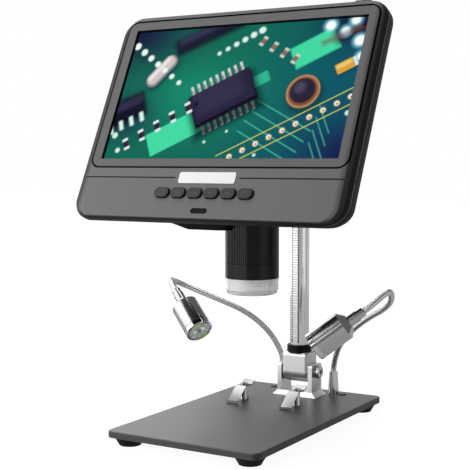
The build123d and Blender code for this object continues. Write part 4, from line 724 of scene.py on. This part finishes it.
# Back-lit liquid crystal: it gives its own light, under a dark, nearly matt surface.
crystal = new_material("liquid_crystal", "050505", 0.5, Emission_Strength=1.0, Specular_IOR_Level=0.0)
tree = crystal.node_tree
cells = add_node(tree, "ShaderNodeVertexColor", layer_name="picture")
tree.links.new(cells.outputs["Color"], tree.nodes["Principled BSDF"].inputs["Emission Color"])
layer.data.materials.append(crystal)
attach(layer, "head")
# Coated cover glass: clear, and almost free of reflections.
coated_glass = new_material("coated_cover_glass", "ffffff", 0.02, Transmission_Weight=1.0, IOR=1.06)
dress(surface(coated_glass, 4.0, 0.0, 0.0, 0.01), "display_glass")
# Black film on the rim and back of the panel: dull.
dress(surface(new_material("black_panel", "030303", 0.5, Specular_IOR_Level=0.1), 1.0, 0.004), "lcd_panel")

# ---- Controls on the face --------------------------------------------------------------------
# Six rounded buttons of dark plastic with plain signs, a white plate without lettering, the dark
# window of the receiver under them, and a power button in the top edge.
BUTTON_COVER = (0.8, 0.97)  # cosines between which the buttons' flanks, in painted shade, turn to the paler top
BUTTON_PITCH_MM = 13.15
BUTTON_UP_MM = -26.2  # middle of the buttons, below the picture's lower edge
BUTTON_TOP_MM = 3.6  # their tops, in front of the display's glass
MARK_WIDTH_MM = 0.6
MARK_LEVELS_MM = (-0.04, 0.05)  # back and front of the ink from the button's top
RING_MM = 2.1
RING_DEGREES = range(120, 421, 50)  # corners of the ring of the last sign, open at the top

ring = [RING_MM * np.array([np.cos(a), np.sin(a)]) for a in np.radians(RING_DEGREES)]
BUTTON_MARKS = (  # strokes in millimetres: frame, list, up, down, more and off
    ((-2.4, -1.6, 2.4, -1.6), (2.4, -1.6, 2.4, 1.6), (2.4, 1.6, -2.4, 1.6), (-2.4, 1.6, -2.4, -1.6)),
    ((-2.2, 1.6, 2.2, 1.6), (-2.2, 0.0, 2.2, 0.0), (-2.2, -1.6, 2.2, -1.6)),
    ((-2.2, -1.1, 0.0, 1.2), (0.0, 1.2, 2.2, -1.1)),
    ((-2.2, 1.1, 0.0, -1.2), (0.0, -1.2, 2.2, 1.1)),
    ((-2.2, 0.0, 2.2, 0.0), (0.0, -2.0, 0.0, 2.0)),
    tuple((*a, *b) for a, b in zip(ring[:-1], ring[1:])) + ((0.0, 0.3, 0.0, 2.4),),
)


def printed_mark(name, strokes, right_mm):
    """Flat closed bars along the strokes from A to B, on top of a button: the corners are A - e - f, B + e - f,
    B + e + f and A - e + f, with e along and f to the left of the stroke, each half a stroke's width long."""
    a, b = np.array(strokes, float)[:, :2], np.array(strokes, float)[:, 2:]
    e = (b - a) / np.linalg.norm(b - a, axis=1, keepdims=True) * MARK_WIDTH_MM / 2
    f = np.stack([-e[:, 1], e[:, 0]], axis=1)
    flat = np.stack([a - e - f, b + e - f, b + e + f, a - e + f], axis=1)
    levels = BUTTON_TOP_MM + np.repeat(MARK_LEVELS_MM, 4)
    flat = np.concatenate([flat, flat], axis=1)
    points = on_screen(right_mm + flat[..., 0], BUTTON_UP_MM + flat[..., 1], np.broadcast_to(levels, flat.shape[:2]))
    sides = np.array([(3, 2, 1, 0), (4, 5, 6, 7), (0, 1, 5, 4), (1, 2, 6, 5), (2, 3, 7, 6), (3, 0, 4, 7)])
    faces = (8 * np.arange(len(flat))[:, None, None] + sides).reshape(-1, 4)
    mesh = bpy.data.meshes.new(name)
    mesh.from_pydata(points.reshape(-1, 3).tolist(), [], faces.tolist())
    piece = bpy.data.objects.new(name, mesh)
    bpy.context.scene.collection.objects.link(piece)
    return piece


# Moulded ABS: dark grey on top; the flanks are nearly black, which is painted shade.
button = new_material("moulded_button_abs", "272728", 0.45, Specular_IOR_Level=0.3)
paint_and_painted_shade(button, "050505", tuple(SCREEN_OUT), BUTTON_COVER)
dress(button, *[f"menu_button_{number}" for number in range(1, len(BUTTON_MARKS) + 1)])
# Pad-printed ink: dull grey, on top of each button.
ink = surface(new_material("grey_ink", "575758", 0.6, Specular_IOR_Level=0.2), 0.6, 0.0, 0.06, 0.03)
for number, strokes in enumerate(BUTTON_MARKS, start=1):
    right_mm = (number - (len(BUTTON_MARKS) + 1) / 2) * BUTTON_PITCH_MM
    mark = printed_mark(f"button_mark_{number}", strokes, right_mm)
    mark.data.materials.append(ink)
    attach(mark, f"menu_button_{number}")
dress(black_abs, "power_button")
# White stove enamel on thin aluminium.
dress(surface(new_material("white_enamel", "fcfcfc", 0.3), 1.2, 0.003, 0.01, 0.03), "nameplate")
# Dark acrylic that lets infrared light through.
window = new_material("dark_acrylic", "020202", 0.35, Specular_IOR_Level=0.1)
dress(surface(window, 1.0, 0.002, 0.05, 0.03), "ir_window")

# ---- Gooseneck lamps -------------------------------------------------------------------------
# Each lamp head is turned from aluminium, with a bright bezel, a clear lens and a mirrored cup with
# diodes. Its neck is a stiff hose wound of polished steel strip, pushed into a tapered ferrule.
HOSE_RADIUS = 0.0023  # metres, as are the depth and the pitch of its grooves
HOSE_GROOVE = 0.00014
HOSE_PITCH = 0.00105
HOSE_AROUND = 28
RINGS_PER_PITCH = 6
LEFT_ROUTE = (  # millimetres
    (-22.4, 88.6, 15.2),
    (-22.4, 88.6, 27.5),
    (-22.4, 88.6, 31.0),
    (-23.6, 86.0, 41.5),
    (-31.9, 80.2, 58.2),
    (-48.0, 71.6, 73.1),
    (-70.5, 61.4, 83.3),
    (-103.0, 48.9, 97.0),
)
RIGHT_ROUTE = (
    (22.4, 88.6, 15.2),
    (22.4, 88.6, 27.5),
    (22.4, 88.6, 31.4),
    (26.3, 84.1, 41.4),
    (33.0, 78.6, 52.8),
    (46.2, 73.0, 65.6),
    (63.4, 64.5, 77.2),
    (78.2, 56.5, 84.8),
    (88.8, 47.0, 93.0),
    (93.4, 33.0, 103.4),
)
LAMPS = {  # route, start of the straight run before the tail, middle of the mouth, and aim
    "left": (LEFT_ROUTE, 12.0, (-48.4, 4.0, 65.6), (0.706, -0.333, -0.625)),
    "right": (RIGHT_ROUTE, 7.0, (46.9, 4.7, 61.7), (-0.731, -0.326, -0.600)),
}
LAMP_LENGTH = 44.0  # from the bezel's edge to the end of the tail
TAIL_MOUTH = 1.0  # the route's last point but one is this far outside the tail
TAIL_SEAT = 6.0  # and its last point this far inside
PIECE_STEPS = 200  # points along each curved piece of a route
ROUTE_STEPS = 400  # points with which a route is measured
CUP_PROFILE = (  # radius and depth behind the mouth, millimetres, closed
    (8.9, 2.4),
    (8.7, 4.2),
    (8.3, 6.2),
    (7.7, 8.0),
    (7.3, 8.8),
    (7.5, 8.9),
    (8.2, 7.6),
    (8.9, 5.6),
    (8.9, 2.4),
)
CUP_AROUND = 48
PHOSPHOR_REACH = (0.0033, 0.006)  # metres from the axis to the end of the phosphor and to bare silver
PHOSPHOR_HEX = "d8e070"
SILVER_HEX = "b6b9bf"
DIODE_GLOW = 0.25


def smooth_route(points, count):
    """Points at even distances along a smooth line: pieces (1 - t)^2 A + 2 t (1 - t) B + t^2 C, where each B is a
    point of the route and A and C are the middles of the runs beside it, or the route's ends."""
    points = np.array(points, float)
    middles = (points[1:-2] + points[2:-1]) / 2
    starts = np.concatenate([points[:1], middles])
    ends = np.concatenate([middles, points[-1:]])
    t = np.linspace(0, 1, PIECE_STEPS, endpoint=False)[None, :, None]
    pieces = (1 - t) ** 2 * starts[:, None] + 2 * t * (1 - t) * points[1:-1, None] + t**2 * ends[:, None]
    line = np.concatenate([pieces.reshape(-1, 3), points[-1:]])
    run = np.concatenate([[0], np.cumsum(np.linalg.norm(np.diff(line, axis=0), axis=1))])
    even = np.linspace(0, run[-1], count)
    return np.stack([np.interp(even, run, line[:, axis]) for axis in range(3)], axis=1), even


def around(line, radii, sides):
    """Points C(s) + r(s) (cos a N + sin a B) round a line: N is at right angles to the line and to the normal of
    the plane that fits the line best, and B is at right angles to both."""
    along = np.gradient(line, axis=0)
    along /= np.linalg.norm(along, axis=1, keepdims=True)
    plane = np.linalg.svd(line - line.mean(axis=0))[2][2]
    across = np.cross(plane, along)
    across /= np.linalg.norm(across, axis=1, keepdims=True)
    third = np.cross(along, across)
    angle = np.linspace(0, 2 * np.pi, sides, endpoint=False)[None, :, None]
    ring = np.cos(angle) * across[:, None] + np.sin(angle) * third[:, None]
    return line[:, None] + radii[:, None, None] * ring


def turned(profile_mm, mouth, aim, sides):
    """A turned piece: the points M - z D + r (cos a E + sin a F), with (r, z) along the closed profile, M the middle
    of the mouth, D the direction of aim, and E and F at right angles to it."""
    aim = np.array(aim) / np.linalg.norm(aim)
    e = np.cross(aim, (0, 0, 1.0))
    e /= np.linalg.norm(e)
    f = np.cross(aim, e)
    r, z = np.array(profile_mm).T[..., None, None]
    angle = np.linspace(0, 2 * np.pi, sides, endpoint=False)[None, :, None]
    points = np.array(mouth) - z * aim + r * (np.cos(angle) * e + np.sin(angle) * f)
    return points / 1000


# Polished stainless strip: a light line along the hose, darker in its grooves.
hose_steel = surface(new_material("polished_steel_hose", "d6d7d8", 0.27, 1.0), POLISH_MM, 0.0, 0.03, 0.01)
# Turned aluminium: bright, with slightly blurred reflections along the head.
turned_aluminium = surface(new_material("turned_aluminium", "c6c7c8", 0.17, 1.0), POLISH_MM, 0.0, 0.03, 0.01)
# Chromed brass: sharp, bright reflections.
chromed = surface(new_material("chromed_brass", "dededf", 0.08, 1.0), POLISH_MM, 0.0, 0.03, 0.01)
# Mirrored plastic: a bright cup with a faint glow, which is painted light.
mirror_cup = new_material(
    "mirrored_plastic", "eef0f4", 0.12, 1.0, Emission_Color=linear("dfe2ea"), Emission_Strength=0.06
)
surface(mirror_cup, 2.2, 0.02, 0.08, 0.02)
# Coated lens: clear glass with a violet reflection.
coated_lens = new_material(
    "coated_lens", "f4f6ff", 0.03, Transmission_Weight=1.0, IOR=1.5, Specular_Tint=linear("6a6ae0")
)
surface(coated_lens, POLISH_MM, 0.0, 0.0, 0.01)


def lamp_diodes(side, mouth, aim):
    """Diodes under yellow phosphor in the middle of their silvered board: the colour goes from phosphor to silver as
    the distance |(P - M) x D| from the axis through M along D goes through PHOSPHOR_REACH."""
    material = new_material(f"{side}_phosphor_diodes", "d9dfe6", 0.3, 0.3)
    tree = material.node_tree
    where = add_node(tree, "ShaderNodeTexCoord")
    away = add_node(
        tree,
        "ShaderNodeVectorMath",
        {0: where.outputs["Object"], 1: tuple(np.array(mouth) / 1000)},
        operation="SUBTRACT",
    )
    beside = add_node(
        tree, "ShaderNodeVectorMath", {0: away.outputs[0], 1: tuple(aim)}, operation="CROSS_PRODUCT"
    )
    distance = add_node(tree, "ShaderNodeVectorMath", {0: beside.outputs[0]}, operation="LENGTH")
    silvered = add_node(
        tree,
        "ShaderNodeMapRange",
        {"Value": distance.outputs["Value"], "From Min": PHOSPHOR_REACH[0], "From Max": PHOSPHOR_REACH[1]},
    )
    colour = add_node(
        tree,
        "ShaderNodeMix",
        {0: silvered.outputs[0], 6: linear(PHOSPHOR_HEX), 7: linear(SILVER_HEX)},
        data_type="RGBA",
    )
    shader = tree.nodes["Principled BSDF"]
    tree.links.new(colour.outputs[2], shader.inputs["Base Color"])
    tree.links.new(colour.outputs[2], shader.inputs["Emission Color"])
    shader.inputs["Emission Strength"].default_value = DIODE_GLOW
    return material


for side, (route, lead, mouth, aim) in LAMPS.items():
    aim = np.array(aim) / np.linalg.norm(aim)
    ends = [tuple(np.array(mouth) - aim * (LAMP_LENGTH + more)) for more in (lead, TAIL_MOUTH, -TAIL_SEAT)]
    _, run = smooth_route((*route, *ends), ROUTE_STEPS)
    rings = int(run[-1] / 1000 / HOSE_PITCH * RINGS_PER_PITCH)
    line, run = smooth_route((*route, *ends), rings)
    radii = HOSE_RADIUS - HOSE_GROOVE * (1 - np.cos(2 * np.pi * run / 1000 / HOSE_PITCH)) / 2
    hose = grid_mesh(f"{side}_hose", around(line / 1000, radii, HOSE_AROUND), wrap=True, lids=True)
    hose.data.materials.append(hose_steel)
    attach(hose, f"{side}_lamp")
    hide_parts(f"{side}_neck")
    cup = grid_mesh(f"{side}_lamp_cup", turned(CUP_PROFILE, mouth, aim, CUP_AROUND), wrap=True)
    cup.data.materials.append(mirror_cup)
    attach(cup, f"{side}_lamp")
    dress(turned_aluminium, f"{side}_lamp_body")
    dress(chromed, f"{side}_lamp_bezel")
    dress(coated_lens, f"{side}_lamp_lens")
    dress(lamp_diodes(side, mouth, aim), f"{side}_lamp_leds")
dress(chromed, "neck_ferrules")

# ---- Specimen clips --------------------------------------------------------------------------
# Two clips are bent from polished spring steel and turn on small conical posts. A round screw with
# a cross recess holds each one.
SPRING_MM = 4.0  # slow waviness of the bent strip

# Polished spring steel: grey metal with slightly blurred reflections.
spring = surface(new_material("polished_spring_steel", "8e8e8f", 0.22, 1.0), SPRING_MM, 0.0, 0.03, 0.01)
dress(spring, "left_clip", "right_clip")
dress(turned_aluminium, "clip_posts")
dress(nickel, "clip_screws")

# ---- Colour view -----------------------------------------------------------------------------
bpy.context.scene.view_settings.view_transform = "Standard"
